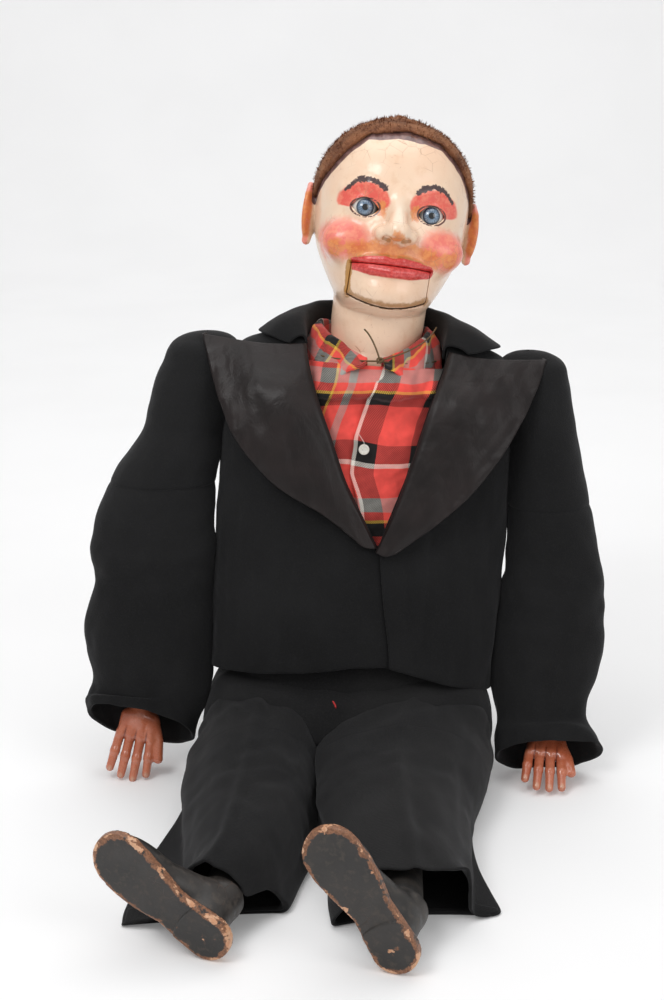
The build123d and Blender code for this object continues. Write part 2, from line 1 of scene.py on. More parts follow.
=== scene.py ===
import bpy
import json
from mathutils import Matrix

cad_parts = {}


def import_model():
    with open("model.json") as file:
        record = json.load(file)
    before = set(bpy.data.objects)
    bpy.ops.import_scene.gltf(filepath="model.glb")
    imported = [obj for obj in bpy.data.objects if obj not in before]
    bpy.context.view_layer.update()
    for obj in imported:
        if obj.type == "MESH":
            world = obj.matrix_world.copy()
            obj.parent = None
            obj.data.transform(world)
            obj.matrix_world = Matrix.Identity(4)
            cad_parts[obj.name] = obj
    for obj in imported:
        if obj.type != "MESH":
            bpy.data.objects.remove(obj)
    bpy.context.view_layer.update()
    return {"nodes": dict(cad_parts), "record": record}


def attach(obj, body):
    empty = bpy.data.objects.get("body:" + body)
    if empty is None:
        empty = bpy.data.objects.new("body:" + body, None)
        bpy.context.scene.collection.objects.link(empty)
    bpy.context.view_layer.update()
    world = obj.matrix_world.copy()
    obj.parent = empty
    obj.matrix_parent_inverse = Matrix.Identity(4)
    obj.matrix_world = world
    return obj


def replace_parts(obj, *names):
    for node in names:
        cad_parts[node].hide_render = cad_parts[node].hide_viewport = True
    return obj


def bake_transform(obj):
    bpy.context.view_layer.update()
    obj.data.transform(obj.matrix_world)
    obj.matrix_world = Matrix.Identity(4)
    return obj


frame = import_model()

import json
import math
import bmesh
import bpy
import numpy as np
from mathutils import Matrix, Vector

# Lengths are in millimetres, in a piece's own frame where it has one. to_object turns them into metres.
JOINTS = {j["name"]: j for j in frame["record"]["behaviour"]["joints"]}
NODES = frame["nodes"]


# ---------------------------------------------------------------- frames
class Frame:
    """A place and axes for a piece: calling it turns the piece's own points into world points."""

    def __init__(self, origin, x, z):
        x, z = np.array(x, float), np.array(z, float)
        z = z / np.linalg.norm(z)
        x = x - z * (x @ z)
        x = x / np.linalg.norm(x)
        self.origin, self.axes = np.array(origin, float), np.array([x, np.cross(z, x), z])

    def __call__(self, points):
        return self.origin + np.asarray(points, float) @ self.axes


def joint_at(name):
    return np.array(JOINTS[name]["pos_m"]) * 1000


TORSO_Z = np.array(JOINTS["neck_turn"]["axis"])
TORSO_X = -np.array(JOINTS["shoulder_right"]["axis"])
NECK_PIVOT_H = 372
TORSO = Frame(joint_at("neck_turn") - NECK_PIVOT_H * TORSO_Z, TORSO_X, TORSO_Z)
HEAD = Frame(joint_at("head_nod"), JOINTS["head_nod"]["axis"], JOINTS["eye_left_turn"]["axis"])


# ---------------------------------------------------------------- camera
def look_from(azimuth_elevation, target, distance, lens):
    azimuth, elevation = map(math.radians, azimuth_elevation)
    way = Vector((math.sin(azimuth) * -1, math.cos(azimuth), 0)) * math.cos(elevation) - Vector((0, 0,
            math.sin(elevation)))
    camera = bpy.data.objects.new("camera", bpy.data.cameras.new("camera"))
    camera.location = Vector(target) - way * distance
    camera.rotation_euler = way.to_track_quat("-Z", "Y").to_euler()
    camera.data.lens, camera.data.sensor_width, camera.data.sensor_fit = lens, 36, "AUTO"
    camera.data.dof.use_dof = False
    camera.data.clip_end = 50
    bpy.context.scene.collection.objects.link(camera)
    bpy.context.scene.camera = camera


look_from((0, 17), (-0.017, -0.061, 0.297), 2.03, 70)


# ---------------------------------------------------------------- shader helpers
class Shader:
    """A small builder: each method adds one node and returns its output."""

    def __init__(self, name, **surface):
        self.material = bpy.data.materials.new(name)
        self.material.use_nodes = True
        self.tree = self.material.node_tree
        self.surface = self.tree.nodes["Principled BSDF"]
        self.where = self.tree.nodes.new("ShaderNodeTexCoord").outputs["Object"]
        self.set(**surface)

    def set(self, **surface):
        for socket, value in surface.items():
            self.plug(self.surface.inputs[socket.replace("_", " ")], value)
        return self

    def plug(self, socket, value):
        if isinstance(value, bpy.types.NodeSocket):
            self.tree.links.new(value, socket)
        elif socket.type == "RGBA":
            socket.default_value = (*value, 1) if len(value) == 3 else value
        else:
            socket.default_value = value

    def node(self, kind, output=0, settings=(), **inputs):
        node = self.tree.nodes.new("ShaderNode" + kind)
        for key, value in dict(settings).items():
            setattr(node, key, value)
        for key, value in inputs.items():
            index = int(key[1:]) if key[0] == "_" else key
            self.plug(node.inputs[index], value)
        return node.outputs[output]

    def noise(self, scale, detail=4, rough=0.55, warp=0.0, at=None):
        return self.node("TexNoise", 0, Vector=at or self.where, Scale=scale, Detail=detail, Roughness=rough,
                Distortion=warp)

    def stretched(self, x, y, z, at=None):
        return self.node("Mapping", 0, Vector=at or self.where, Scale=(x, y, z))

    def cells(self, scale, at=None, feature="F1"):
        return self.node("TexVoronoi", 0, {"feature": feature}, Vector=at or self.where, Scale=scale)

    def attribute(self, name, output="Fac"):
        node = self.tree.nodes.new("ShaderNodeAttribute")
        node.attribute_name = name
        return node.outputs[output]

    def math(self, operation, a, b=0.0, clamp=False):
        return self.node("Math", 0, {"operation": operation, "use_clamp": clamp}, _0=a, _1=b)

    def band(self, value, low, high, to_low=0.0, to_high=1.0):
        node = self.tree.nodes.new("ShaderNodeMapRange")
        node.interpolation_type = "SMOOTHSTEP"
        for index, item in enumerate((value, low, high, to_low, to_high)):
            self.plug(node.inputs[index], item)
        return node.outputs[0]

    def mix(self, amount, a, b, blend="MIX"):
        node = self.tree.nodes.new("ShaderNodeMix")
        node.data_type, node.blend_type = "RGBA", blend
        self.plug(node.inputs[0], amount)
        self.plug(node.inputs[6], a)
        self.plug(node.inputs[7], b)
        return node.outputs[2]

    def ramp(self, value, stops, constant=False):
        node = self.tree.nodes.new("ShaderNodeValToRGB")
        node.color_ramp.interpolation = "CONSTANT" if constant else "LINEAR"
        while len(node.color_ramp.elements) < len(stops):
            node.color_ramp.elements.new(0.5)
        for element, (place, colour) in zip(node.color_ramp.elements, stops):
            element.position, element.color = place, (*colour, 1)
        self.plug(node.inputs[0], value)
        return node.outputs[0]

    def bump(self, height, strength, distance, under=None):
        node = self.tree.nodes.new("ShaderNodeBump")
        self.plug(node.inputs["Height"], height)
        node.inputs["Strength"].default_value = strength
        node.inputs["Distance"].default_value = distance
        if under is not None:
            self.plug(node.inputs["Normal"], under)
        return node.outputs[0]


# ---------------------------------------------------------------- mesh helpers
def to_object(name, vertices_mm, faces, material, smooth=True):
    mesh = bpy.data.meshes.new(name)
    mesh.from_pydata((np.asarray(vertices_mm) / 1000).tolist(), [],
            np.asarray(faces).tolist() if len(faces) else [])
    mesh.validate()
    mesh.polygons.foreach_set("use_smooth", [smooth] * len(mesh.polygons))
    piece = bpy.data.objects.new(name, mesh)
    bpy.context.scene.collection.objects.link(piece)
    mesh.materials.append(material)
    return piece


def put(piece, name, values):
    """A number for each vertex."""
    layer = piece.data.attributes.new(name, "FLOAT", "POINT")
    layer.data.foreach_set("value", np.asarray(values, np.float32).ravel())


def grid_faces(rows, columns, close=False):
    """Quads between neighbouring points of a grid; close joins the last column to the first."""
    r, c = np.meshgrid(np.arange(rows - 1), np.arange(columns if close else columns - 1), indexing="ij")
    a, b = r * columns + c, r * columns + (c + 1) % columns
    return np.stack([a, b, b + columns, a + columns], -1).reshape(-1, 4)


def sheet_mesh(name, points, material, close=False, thickness=1.6, level=1):
    """Cloth over a grid of points (rows, columns, 3) in world millimetres, with real thickness on its inner side."""
    rows, columns = points.shape[:2]
    piece = to_object(name, points.reshape(-1, 3), grid_faces(rows, columns, close), material)
    solid = piece.modifiers.new("thickness", "SOLIDIFY")
    solid.thickness, solid.offset = thickness / 1000, 0
    if level:
        piece.modifiers.new("smooth", "SUBSURF").levels = level
        piece.modifiers["smooth"].render_levels = level
    return piece


def apply_modifiers(piece):
    depsgraph = bpy.context.evaluated_depsgraph_get()
    mesh = bpy.data.meshes.new_from_object(piece.evaluated_get(depsgraph))
    piece.modifiers.clear()
    piece.data = mesh
    return piece


def spline(knots, count, close=False):
    """Catmull-Rom through knots (n, ...) sampled at count places."""
    knots = np.asarray(knots, float)
    n = len(knots)
    t = np.linspace(0, n if close else n - 1, count, endpoint=not close)
    i = np.minimum(t.astype(int), n - 1 if close else n - 2)
    f = (t - i).reshape(-1, *[1] * (knots.ndim - 1))
    pick = (lambda k: knots[k % n]) if close else (lambda k: knots[np.clip(k, 0, n - 1)])
    p0, p1, p2, p3 = pick(i - 1), pick(i), pick(i + 1), pick(i + 2)
    return 0.5 * (2 * p1 + (p2 - p0) * f + (2 * p0 - 5 * p1 + 4 * p2 - p3) * f**2 + (3 * p1 - p0 - 3 * p2 + p3)
            * f**3)


def wobble(points, size, seed, octaves=3):
    """Smooth noise about -1 to 1 whose features are about size long."""
    rng = np.random.default_rng(seed)
    total = np.zeros(points.shape[:-1])
    for octave in range(octaves):
        for _ in range(5):
            way = rng.normal(size=3)
            way *= (2 ** octave) * 2 * math.pi / size / np.linalg.norm(way) * rng.uniform(0.6, 1.3)
            total += np.sin(points @ way + rng.uniform(0, 6.28)) * 0.42 / 2**octave
    return total / 1.4


def ease(value, low, high):
    t = np.clip((value - low) / (high - low), 0, 1)
    return t * t * (3 - 2 * t)


# ---------------------------------------------------------------- implicit shapes
def volume(low, high, step):
    """The points of a grid between two corners."""
    axes = [np.arange(a, b + step, step, dtype=np.float32) for a, b in zip(low, high)]
    return np.stack(np.meshgrid(*axes, indexing="ij"), -1)


def ball(p, centre, radii):
    q = p - np.float32(centre)
    k = np.linalg.norm(q / np.float32(radii), axis=-1)
    return k * (k - 1) / np.maximum(np.linalg.norm(q / np.float32(radii) ** 2, axis=-1), 1e-6)


def limb(p, a, b, ra, rb):
    a, b = np.float32(a), np.float32(b)
    t = np.clip(((p - a) @ (b - a)) / ((b - a) @ (b - a)), 0, 1)
    return np.linalg.norm(p - a - t[..., None] * (b - a), axis=-1) - (ra + (rb - ra) * t)


def block(p, centre, half, rounding=0.0):
    q = np.abs(p - np.float32(centre)) - np.float32(half) + rounding
    return np.linalg.norm(np.maximum(q, 0), axis=-1) + np.minimum(q.max(-1), 0) - rounding


def join(a, b, k):
    h = np.maximum(k - np.abs(a - b), 0) / k
    return np.minimum(a, b) - h * h * k / 4


def carve(a, b, k):
    return -join(-a, b, k)


def skin_of(field, low, step):
    """The zero surface of a field on a grid, as vertices and quads: one vertex in each cell that it crosses."""
    inside = field < 0
    low = np.asarray(low, float)
    shape = np.array(field.shape)
    total, count = np.zeros((*(shape - 1), 3), np.float32), np.zeros(shape - 1, np.int32)
    crossings = []
    for axis in range(3):
        near = [slice(None)] * 3
        far = [slice(None)] * 3
        near[axis], far[axis] = slice(0, -1), slice(1, None)
        a, b = field[tuple(near)], field[tuple(far)]
        hit = np.argwhere(inside[tuple(near)] != inside[tuple(far)])
        va, vb = a[tuple(hit.T)], b[tuple(hit.T)]
        place = hit.astype(np.float32)
        place[:, axis] += va / (va - vb)
        others = [i for i in range(3) if i != axis]
        for da in (0, -1):
            for db in (0, -1):
                cell = hit.copy()
                cell[:, others[0]] += da
                cell[:, others[1]] += db
                ok = ((cell >= 0) & (cell < shape - 1)).all(1)
                np.add.at(total, tuple(cell[ok].T), place[ok])
                np.add.at(count, tuple(cell[ok].T), 1)
        crossings.append((hit, others, inside[tuple(near)][tuple(hit.T)]))
    used = np.argwhere(count > 0)
    index = np.full(shape - 1, -1, np.int64)
    index[tuple(used.T)] = np.arange(len(used))
    vertices = total[tuple(used.T)] / count[tuple(used.T)][:, None] * step + low
    faces = []
    for hit, others, starts_inside in crossings:
        corners = []
        for da, db in ((0, 0), (-1, 0), (-1, -1), (0, -1)):
            cell = hit.copy()
            cell[:, others[0]] += da
            cell[:, others[1]] += db
            ok = ((cell >= 0) & (cell < shape - 1)).all(1)
            corner = np.full(len(hit), -1, np.int64)
            corner[ok] = index[tuple(cell[ok].T)]
            corners.append(corner)
        quad = np.stack(corners, 1)
        axis = ({0, 1, 2} - set(others)).pop()
        flip = starts_inside if axis != 1 else ~starts_inside
        quad[flip] = quad[flip][:, ::-1]
        faces.append(quad[(quad >= 0).all(1)])
    return vertices, np.concatenate(faces)[:, ::-1]


def carved(name, field_of, low, high, step, at, material, smoothing=1):
    """A piece from an implicit shape in a frame; the vertices in that frame are returned too."""
    vertices, faces = skin_of(field_of(volume(low, high, step)), low, step)
    piece = to_object(name, at(vertices), faces, material)
    even = piece.modifiers.new("even", "SMOOTH")
    even.factor, even.iterations = 0.5, smoothing
    apply_modifiers(piece)
    return piece, vertices


# ---------------------------------------------------------------- materials
def cloth_weave(s, scale, strength, under=None):
    """Fine threads in two directions, as a bump."""
    warp = s.node("TexWave", 1, {"bands_direction": "X"}, Vector=s.where, Scale=scale, Distortion=1.5,
            Detail=1.0)
    weft = s.node("TexWave", 1, {"bands_direction": "Z"}, Vector=s.where, Scale=scale, Distortion=1.5,
            Detail=1.0)
    return s.bump(s.math("MULTIPLY", warp, weft), strength, 0.0006, under)


def wool(name, colour, crease, lint=0.5):
    s = Shader(name, Roughness=0.95, Specular_IOR_Level=0.25, Sheen_Weight=0.12, Sheen_Roughness=0.45,
            Sheen_Tint=(0.6, 0.6, 0.62, 1))
    soft = s.noise(9, 3)
    nap = s.noise(700, 3, 0.7)
    base = s.mix(s.band(soft, 0.35, 0.75), colour, crease)
    base = s.mix(s.math("MULTIPLY", s.band(nap, 0.45, 0.8), 0.5), base, [c * 2.2 for c in crease])
    flecks = s.band(s.cells(260), 0.035, 0.02)
    chosen = s.band(s.noise(30, 2), 0.62, 0.7)
    base = s.mix(s.math("MULTIPLY", s.math("MULTIPLY", flecks, chosen), lint), base, (0.25, 0.24, 0.22))
    s.set(Base_Color=base)
    rough = s.bump(nap, 0.5, 0.0008)
    s.set(Normal=cloth_weave(s, 420, 0.25, rough))
    return s.material


def satin():
    s = Shader("satin", Roughness=0.42, Specular_IOR_Level=0.32, Sheen_Weight=0.035, Sheen_Roughness=0.3,
            Sheen_Tint=(0.85, 0.6, 0.56, 1), Anisotropic=0.35)
    worn = s.noise(26, 5, 0.6)
    threads = s.noise(900, 2, 0.6, at=s.stretched(1, 1, 0.06))
    base = s.mix(s.band(worn, 0.3, 0.75), (0.0075, 0.0048, 0.0046), (0.014, 0.0085, 0.0082))
    base = s.mix(s.math("MULTIPLY", s.band(s.cells(60), 0.1, 0.02), s.band(s.noise(15, 2), 0.62, 0.68)), base,
            (0.008, 0.005, 0.004))
    s.set(Base_Color=base, Roughness=s.band(worn, 0.2, 0.8, 0.36, 0.52))
    puckers = s.bump(s.noise(55, 3, 0.5, 0.6, s.stretched(1, 1, 0.5)), 0.35, 0.004)
    s.set(Normal=s.bump(threads, 0.3, 0.0004, puckers))
    return s.material


# Plaid stripes along one direction: widths in millimetres and colours, repeated.
RED, BLACK, WHITE, CHECK, YELLOW = (0.86, 0.085, 0.068), (0.010, 0.009, 0.009), (0.86, 0.80, 0.72), (0.36, 0.35,
        0.32), (0.74, 0.46, 0.06)
ACROSS = [(4, WHITE), (20, BLACK), (34, RED), (15, BLACK), (3, YELLOW), (12, RED), (8, CHECK), (22, RED)]
DOWN = [(19, BLACK), (38, RED), (14, BLACK), (3, YELLOW), (9, RED), (14, CHECK), (30, RED), (5, WHITE)]


def plaid():
    """Yarn-dyed flannel: u and v attributes in millimetres carry the stripes over its folds."""
    s = Shader("plaid", Roughness=0.85, Specular_IOR_Level=0.3, Sheen_Weight=0.15)
    u, v = s.attribute("u"), s.attribute("v")

    def stripes(coordinate, widths):
        period, stops, at = float(sum(width for width, _ in widths)), [], 0.0
        place = s.math("FRACT", s.math("DIVIDE", coordinate, period))
        for width, colour in widths:
            stops.append((at / period, colour))
            at += width
        return s.ramp(place, stops, constant=True)

    warp, weft = stripes(u, ACROSS), stripes(v, DOWN)
    twill = s.math("FRACT", s.math("DIVIDE", s.math("ADD", u, v), 1.9))
    over = s.band(s.math("ABSOLUTE", s.math("SUBTRACT", twill, 0.5)), 0.14, 0.36)
    base = s.mix(s.band(over, 0.0, 1.0, 0.22, 0.78), warp, weft)
    fade = s.band(s.noise(45, 4), 0.3, 0.75, 0.82, 1.12)
    base = s.mix(1.0, base, s.node("CombineColor", 0, Red=fade, Green=fade, Blue=fade), "MULTIPLY")
    s.set(Base_Color=base)
    fuzz = s.bump(s.noise(800, 3, 0.7), 0.3, 0.0006)
    s.set(Normal=s.bump(over, 0.25, 0.0005, fuzz))
    return s.material


def face():
    """Cream oil paint under yellowed varnish, with the painted features as masks on the mesh."""
    s = Shader("face_paint", Roughness=0.38, Specular_IOR_Level=0.5, Coat_Weight=0.55, Coat_Roughness=0.14)
    fine, broad, dab = s.noise(330, 4, 0.65), s.noise(22, 4), s.noise(130, 5, 0.7)

    def painted(mask, low=0.35, high=0.65, noise=None, amount=0.5):
        """A mask with a brushed, broken edge."""
        grain = s.math("MULTIPLY", s.math("SUBTRACT", noise or dab, 0.5), amount)
        return s.band(s.math("ADD", s.attribute(mask), grain), low, high)

    base = s.mix(s.band(broad, 0.3, 0.75), (0.90, 0.67, 0.49), (0.88, 0.60, 0.42))
    base = s.mix(s.math("MULTIPLY", s.band(s.noise(70, 5, 0.7), 0.52, 0.72), 0.35), base, (0.74, 0.44, 0.25))
    base = s.mix(s.math("MULTIPLY", painted("paint_pale", 0.2, 0.9), 0.6), base, (0.80, 0.70, 0.56))
    base = s.mix(s.math("MULTIPLY", painted("paint_blush", 0.2, 0.85, amount=0.7), 0.9), base,
                 s.mix(s.band(dab, 0.4, 0.62), (0.82, 0.14, 0.11), (0.88, 0.25, 0.16)))
    base = s.mix(painted("paint_lid"), base, s.mix(s.band(dab, 0.4, 0.65), (0.82, 0.11, 0.08),
            (0.88, 0.22, 0.14)))
    base = s.mix(s.math("MULTIPLY", painted("paint_orange", 0.3, 0.78, amount=1.7), 0.88), base,
                 s.mix(s.band(dab, 0.35, 0.65), (0.66, 0.15, 0.025), (0.80, 0.29, 0.07)))
    base = s.mix(s.math("MULTIPLY", painted("paint_wear", 0.35, 0.75, amount=1.1), 0.8), base,
            (0.42, 0.20, 0.06))
    base = s.mix(painted("paint_lips", 0.4, 0.6, amount=0.25), base,
                 s.mix(s.band(fine, 0.4, 0.62), (0.56, 0.030, 0.026), (0.74, 0.085, 0.075)))
    base = s.mix(painted("paint_band", 0.45, 0.6, amount=0.9), base,
                 s.mix(s.band(dab, 0.42, 0.6), (0.13, 0.065, 0.06), (0.24, 0.13, 0.12)))
    base = s.mix(painted("paint_brow", 0.42, 0.55, fine, amount=1.7), base, (0.065, 0.035, 0.035))
    base = s.mix(painted("paint_line", 0.45, 0.7, amount=0.9), base, (0.12, 0.035, 0.025))
    base = s.mix(painted("paint_filler", 0.4, 0.6, amount=0.7), base, (0.50, 0.24, 0.05))
    cracks = s.band(s.cells(75, feature="DISTANCE_TO_EDGE"), 0.02, 0.0)
    some = s.band(s.noise(28, 3), 0.52, 0.62)
    cracked = s.math("MULTIPLY", cracks, some)
    base = s.mix(s.math("MULTIPLY", cracked, 0.7), base, (0.45, 0.22, 0.12))
    specks = s.math("MULTIPLY", s.band(s.cells(240), 0.14, 0.05), s.band(s.noise(45, 2), 0.52, 0.62))
    base = s.mix(s.math("MULTIPLY", specks, 0.75), base, (0.40, 0.14, 0.07))
    s.set(Base_Color=base, Roughness=s.band(dab, 0.3, 0.7, 0.28, 0.46))
    lumps = s.bump(s.noise(60, 3, 0.5), 0.25, 0.003)
    brush = s.bump(s.math("SUBTRACT", fine, cracked), 0.22, 0.0006, lumps)
    s.set(Normal=brush)
    coat = s.bump(s.noise(90, 2, 0.5), 0.12, 0.003)
    s.set(Coat_Normal=coat)
    return s.material


def hand_flesh():
    s = Shader("hand_paint", Roughness=0.3, Specular_IOR_Level=0.5, Coat_Weight=0.7, Coat_Roughness=0.1)
    dab, broad = s.noise(160, 4, 0.65), s.noise(40, 3)
    base = s.mix(s.band(broad, 0.3, 0.75), (0.54, 0.17, 0.090), (0.43, 0.10, 0.043))
    base = s.mix(s.math("MULTIPLY", s.band(s.attribute("groove"), 0.25, 0.9), 0.85), base, (0.16, 0.03, 0.015))
    base = s.mix(s.math("MULTIPLY", s.attribute("nail"), 0.75), base, (0.60, 0.36, 0.25))
    specks = s.math("MULTIPLY", s.band(s.cells(330), 0.14, 0.06), s.band(s.noise(60, 2), 0.5, 0.6))
    base = s.mix(s.math("MULTIPLY", specks, 0.8), base, (0.33, 0.05, 0.025))
    base = s.mix(s.math("MULTIPLY", s.band(dab, 0.62, 0.75), 0.5), base, (0.60, 0.33, 0.21))
    s.set(Base_Color=base, Roughness=s.band(dab, 0.3, 0.7, 0.22, 0.4))
    s.set(Normal=s.bump(dab, 0.2, 0.0006), Coat_Normal=s.bump(broad, 0.15, 0.002))
    return s.material


def shoe_paint():
    s = Shader("shoe_composition", Roughness=0.5, Specular_IOR_Level=0.5, Coat_Weight=0.15, Coat_Roughness=0.3)
    dab, broad, fine = s.noise(110, 5, 0.7), s.noise(24, 4), s.noise(500, 3)
    base = s.mix(s.band(broad, 0.3, 0.75), (0.013, 0.012, 0.011), (0.030, 0.025, 0.022))
    base = s.mix(s.math("MULTIPLY", s.band(dab, 0.48, 0.66), 0.7), base, (0.062, 0.050, 0.041))
    rim = s.math("ADD", s.attribute("rim"), s.math("MULTIPLY", s.math("SUBTRACT", dab, 0.5), 1.5))
    brown = s.band(rim, 0.58, 0.72)
    base = s.mix(brown, base, s.mix(s.band(fine, 0.4, 0.6), (0.16, 0.065, 0.03), (0.27, 0.12, 0.06)))
    chips = s.band(s.math("ADD", s.attribute("rim"),
            s.math("MULTIPLY", s.math("SUBTRACT", s.noise(70, 4, 0.6), 0.5), 2.8)), 0.92, 1.0)
    base = s.mix(chips, base, s.mix(s.band(dab, 0.4, 0.6), (0.56, 0.27, 0.14), (0.66, 0.40, 0.25)))
    cracks = s.math("MULTIPLY", s.band(s.cells(90, feature="DISTANCE_TO_EDGE"), 0.02, 0.0),
            s.band(broad, 0.60, 0.68))
    base = s.mix(s.math("MULTIPLY", cracks, 0.7), base, (0.10, 0.05, 0.03))
    s.set(Base_Color=base, Roughness=s.band(dab, 0.3, 0.7, 0.38, 0.68))
    deep = s.bump(s.math("SUBTRACT", dab, s.math("MULTIPLY", cracks, 1.5)), 0.45, 0.0012)
    s.set(Normal=s.bump(fine, 0.2, 0.0005, deep))
    return s.material


def hair_felt(name="hair_felt", lift=1.0):
    s = Shader(name, Roughness=0.95, Specular_IOR_Level=0.2, Sheen_Weight=0.12, Sheen_Tint=(0.9, 0.75, 0.5, 1))
    patch, fibre = s.noise(38, 4, 0.6), s.noise(420, 4, 0.7, 0.5, s.stretched(1, 0.35, 1))
    base = s.mix(s.band(patch, 0.36, 0.68), [c * lift for c in (0.13, 0.043, 0.022)],
            [c * lift for c in (0.28, 0.112, 0.052)])
    base = s.mix(s.math("MULTIPLY", s.band(fibre, 0.5, 0.75), 0.6), base,
            [c * lift for c in (0.36, 0.17, 0.08)])
    s.set(Base_Color=base)
    lumps = s.bump(patch, 0.5, 0.003)
    s.set(Normal=s.bump(fibre, 0.8, 0.0015, lumps))
    return s.material


def bare_wood(name, pale=(0.42, 0.27, 0.14), dark=(0.24, 0.13, 0.055), roughness=0.6):
    s = Shader(name, Roughness=roughness)
    rings = s.node("TexWave", 1, {"wave_type": "RINGS", "rings_direction": "X"}, Vector=s.stretched(1, 6, 6),
            Scale=3.2, Distortion=5.0, Detail=3.0)
    grain = s.noise(160, 4, 0.7, at=s.stretched(1, 1, 0.08))
    base = s.mix(s.band(rings, 0.2, 0.9), pale, dark)
    base = s.mix(s.math("MULTIPLY", s.band(grain, 0.5, 0.75), 0.55), base, [c * 0.55 for c in dark])
    s.set(Base_Color=base, Roughness=s.band(grain, 0.3, 0.7, roughness - 0.1, roughness + 0.15))
    s.set(Normal=s.bump(grain, 0.35, 0.0006))
    return s.material


def metal(name, colour, roughness):
    s = Shader(name, Metallic=1.0, Roughness=roughness)
    brushed = s.noise(260, 3, 0.6, at=s.stretched(1, 0.05, 1))
    tarnish = s.noise(40, 4)
    s.set(Base_Color=s.mix(s.band(tarnish, 0.35, 0.75), colour, [c * 0.45 for c in colour]),
          Roughness=s.band(brushed, 0.3, 0.7, roughness - 0.08, roughness + 0.15), Normal=s.bump(brushed, 0.2,
                  0.0003))
    return s.material


def eye_white():
    s = Shader("eye_white", Roughness=0.12, Specular_IOR_Level=0.6, Coat_Weight=1.0, Coat_Roughness=0.03)
    veins = s.band(s.noise(300, 4, 0.6, 1.5), 0.62, 0.7)
    s.set(Base_Color=s.mix(s.math("MULTIPLY", veins, 0.25), (0.66, 0.64, 0.60), (0.55, 0.30, 0.26)),
          Normal=s.bump(s.noise(120, 2), 0.03, 0.001))
    return s.material


def iris():
    """Pupil, blue-grey iris with radial streaks and a dark rim, by the distance from the middle in millimetres."""
    s = Shader("iris", Roughness=0.1, Specular_IOR_Level=0.6, Coat_Weight=1.0, Coat_Roughness=0.02)
    radius, turn = s.attribute("from_middle"), s.attribute("turn")
    streaks = s.node("TexNoise", 0, {"noise_dimensions": "2D"},
            Vector=s.node("CombineXYZ", 0, X=s.math("MULTIPLY", turn, 9.0), Y=s.math("MULTIPLY", radius, 0.35)),
            Scale=1.0, Detail=3.0)
    blue = s.mix(s.band(streaks, 0.35, 0.65), (0.06, 0.10, 0.16), (0.20, 0.29, 0.40))
    blue = s.mix(s.band(radius, 5.4, 7.4), blue, (0.03, 0.045, 0.07))
    colour = s.mix(s.band(radius, 2.5, 3.1), (0.003, 0.003, 0.004), blue)
    colour = s.mix(s.band(radius, 7.5, 8.0), colour, (0.42, 0.42, 0.42))
    s.set(Base_Color=colour, Normal=s.bump(streaks, 0.05, 0.0005))
    return s.material


def plain_fibre(name, colour, roughness=0.8):
    s = Shader(name, Roughness=roughness)
    twist = s.noise(900, 3, 0.6)
    s.set(Base_Color=s.mix(s.band(twist, 0.35, 0.7), colour, [c * 0.5 for c in colour]),
            Normal=s.bump(twist, 0.6, 0.0004))
    return s.material


def button_plastic():
    s = Shader("button_plastic", Roughness=0.25, Coat_Weight=0.4)
    stain = s.noise(300, 3)
    s.set(Base_Color=s.mix(s.band(stain, 0.4, 0.8), (0.72, 0.70, 0.64), (0.58, 0.54, 0.46)),
            Normal=s.bump(stain, 0.08, 0.0003))
    return s.material


WOOL = wool("black_wool", (0.0060, 0.0060, 0.0064), (0.0105, 0.0105, 0.0110))
TROUSER_WOOL = wool("trouser_wool", (0.0070, 0.0070, 0.0075), (0.0135, 0.0132, 0.0135), 0.8)
SATIN, PLAID, FACE, FLESH, SHOE = satin(), plaid(), face(), hand_flesh(), shoe_paint()
HAIR, FUZZ = hair_felt(), hair_felt("hair_fibres", 1.15)
WOOD, STICK_WOOD = bare_wood("bare_wood"), bare_wood("stick_wood", (0.50, 0.34, 0.19), (0.30, 0.18, 0.08))
# Near-black wood for the lower legs: the black upper of high boots, and painted shade for the dark inside of the
# trouser hems.
BOOT_AND_HEM_SHADE_WOOD = bare_wood("boot_black_and_hem_shade_wood", (0.022, 0.020, 0.019), (0.035, 0.030, 0.026))
FELT = plain_fibre("felt", (0.34, 0.31, 0.26), 0.95)
STEEL, BRASS = metal("steel", (0.52, 0.52, 0.53), 0.38), metal("brass", (0.70, 0.50, 0.20), 0.32)
EYE_WHITE, IRIS = eye_white(), iris()
TWINE, WHITE_THREAD, RED_THREAD = plain_fibre("twine", (0.16, 0.095, 0.04)), plain_fibre("white_thread",
        (0.75, 0.74, 0.70)), plain_fibre("red_thread", (0.55, 0.03, 0.03))
BUTTON = button_plastic()


def finish_of(node):
    """The material of a CAD node that stays shown."""
    if node == "jaw_spring":
        return BRASS
    if any(word in node for word in ("pin", "bolt", "axle", "trigger", "lever")):
        return STEEL
    # the lower legs are near black, standing for the boots' black upper and painting the shade inside the trouser
    # hems
    if node.startswith("lower_leg"):
        return BOOT_AND_HEM_SHADE_WOOD
    if node == "neck_washer":
        return FELT
    if node.startswith("eye_right") or node.startswith("eye_left"):
        return EYE_WHITE
    return STICK_WOOD if node == "head_stick" else WOOD


for node, piece in NODES.items():
    piece.data.materials.clear()
    piece.data.materials.append(finish_of(node))


# ---------------------------------------------------------------- head
# z, half width, front y and back y of the head's sections.
SECTIONS = np.array([(48, 12, -52, -20), (54, 36, -68, 10), (60, 44, -79, 20), (68, 50, -84, 34),
        (80, 57, -86, 48),
                     (100, 67, -88, 66), (120, 75, -88, 78), (144, 79, -87, 88), (170, 80, -88, 94),
                     (198, 77, -85, 94),
                     (222, 66, -75, 84), (241, 48, -55, 65), (252, 27, -29, 41), (258, 3, 2, 10)], float)
EYES = ((-34.0, -68.0, 153.5), (34.0, -68.0, 153.5))
NECK_R = 49.0


def section(z):
    """Half width, front and back of the head at height z."""
    smooth = spline(SECTIONS, 500)
    return [np.interp(z, smooth[:, 0], smooth[:, i]).astype(np.float32) for i in (1, 2, 3)]


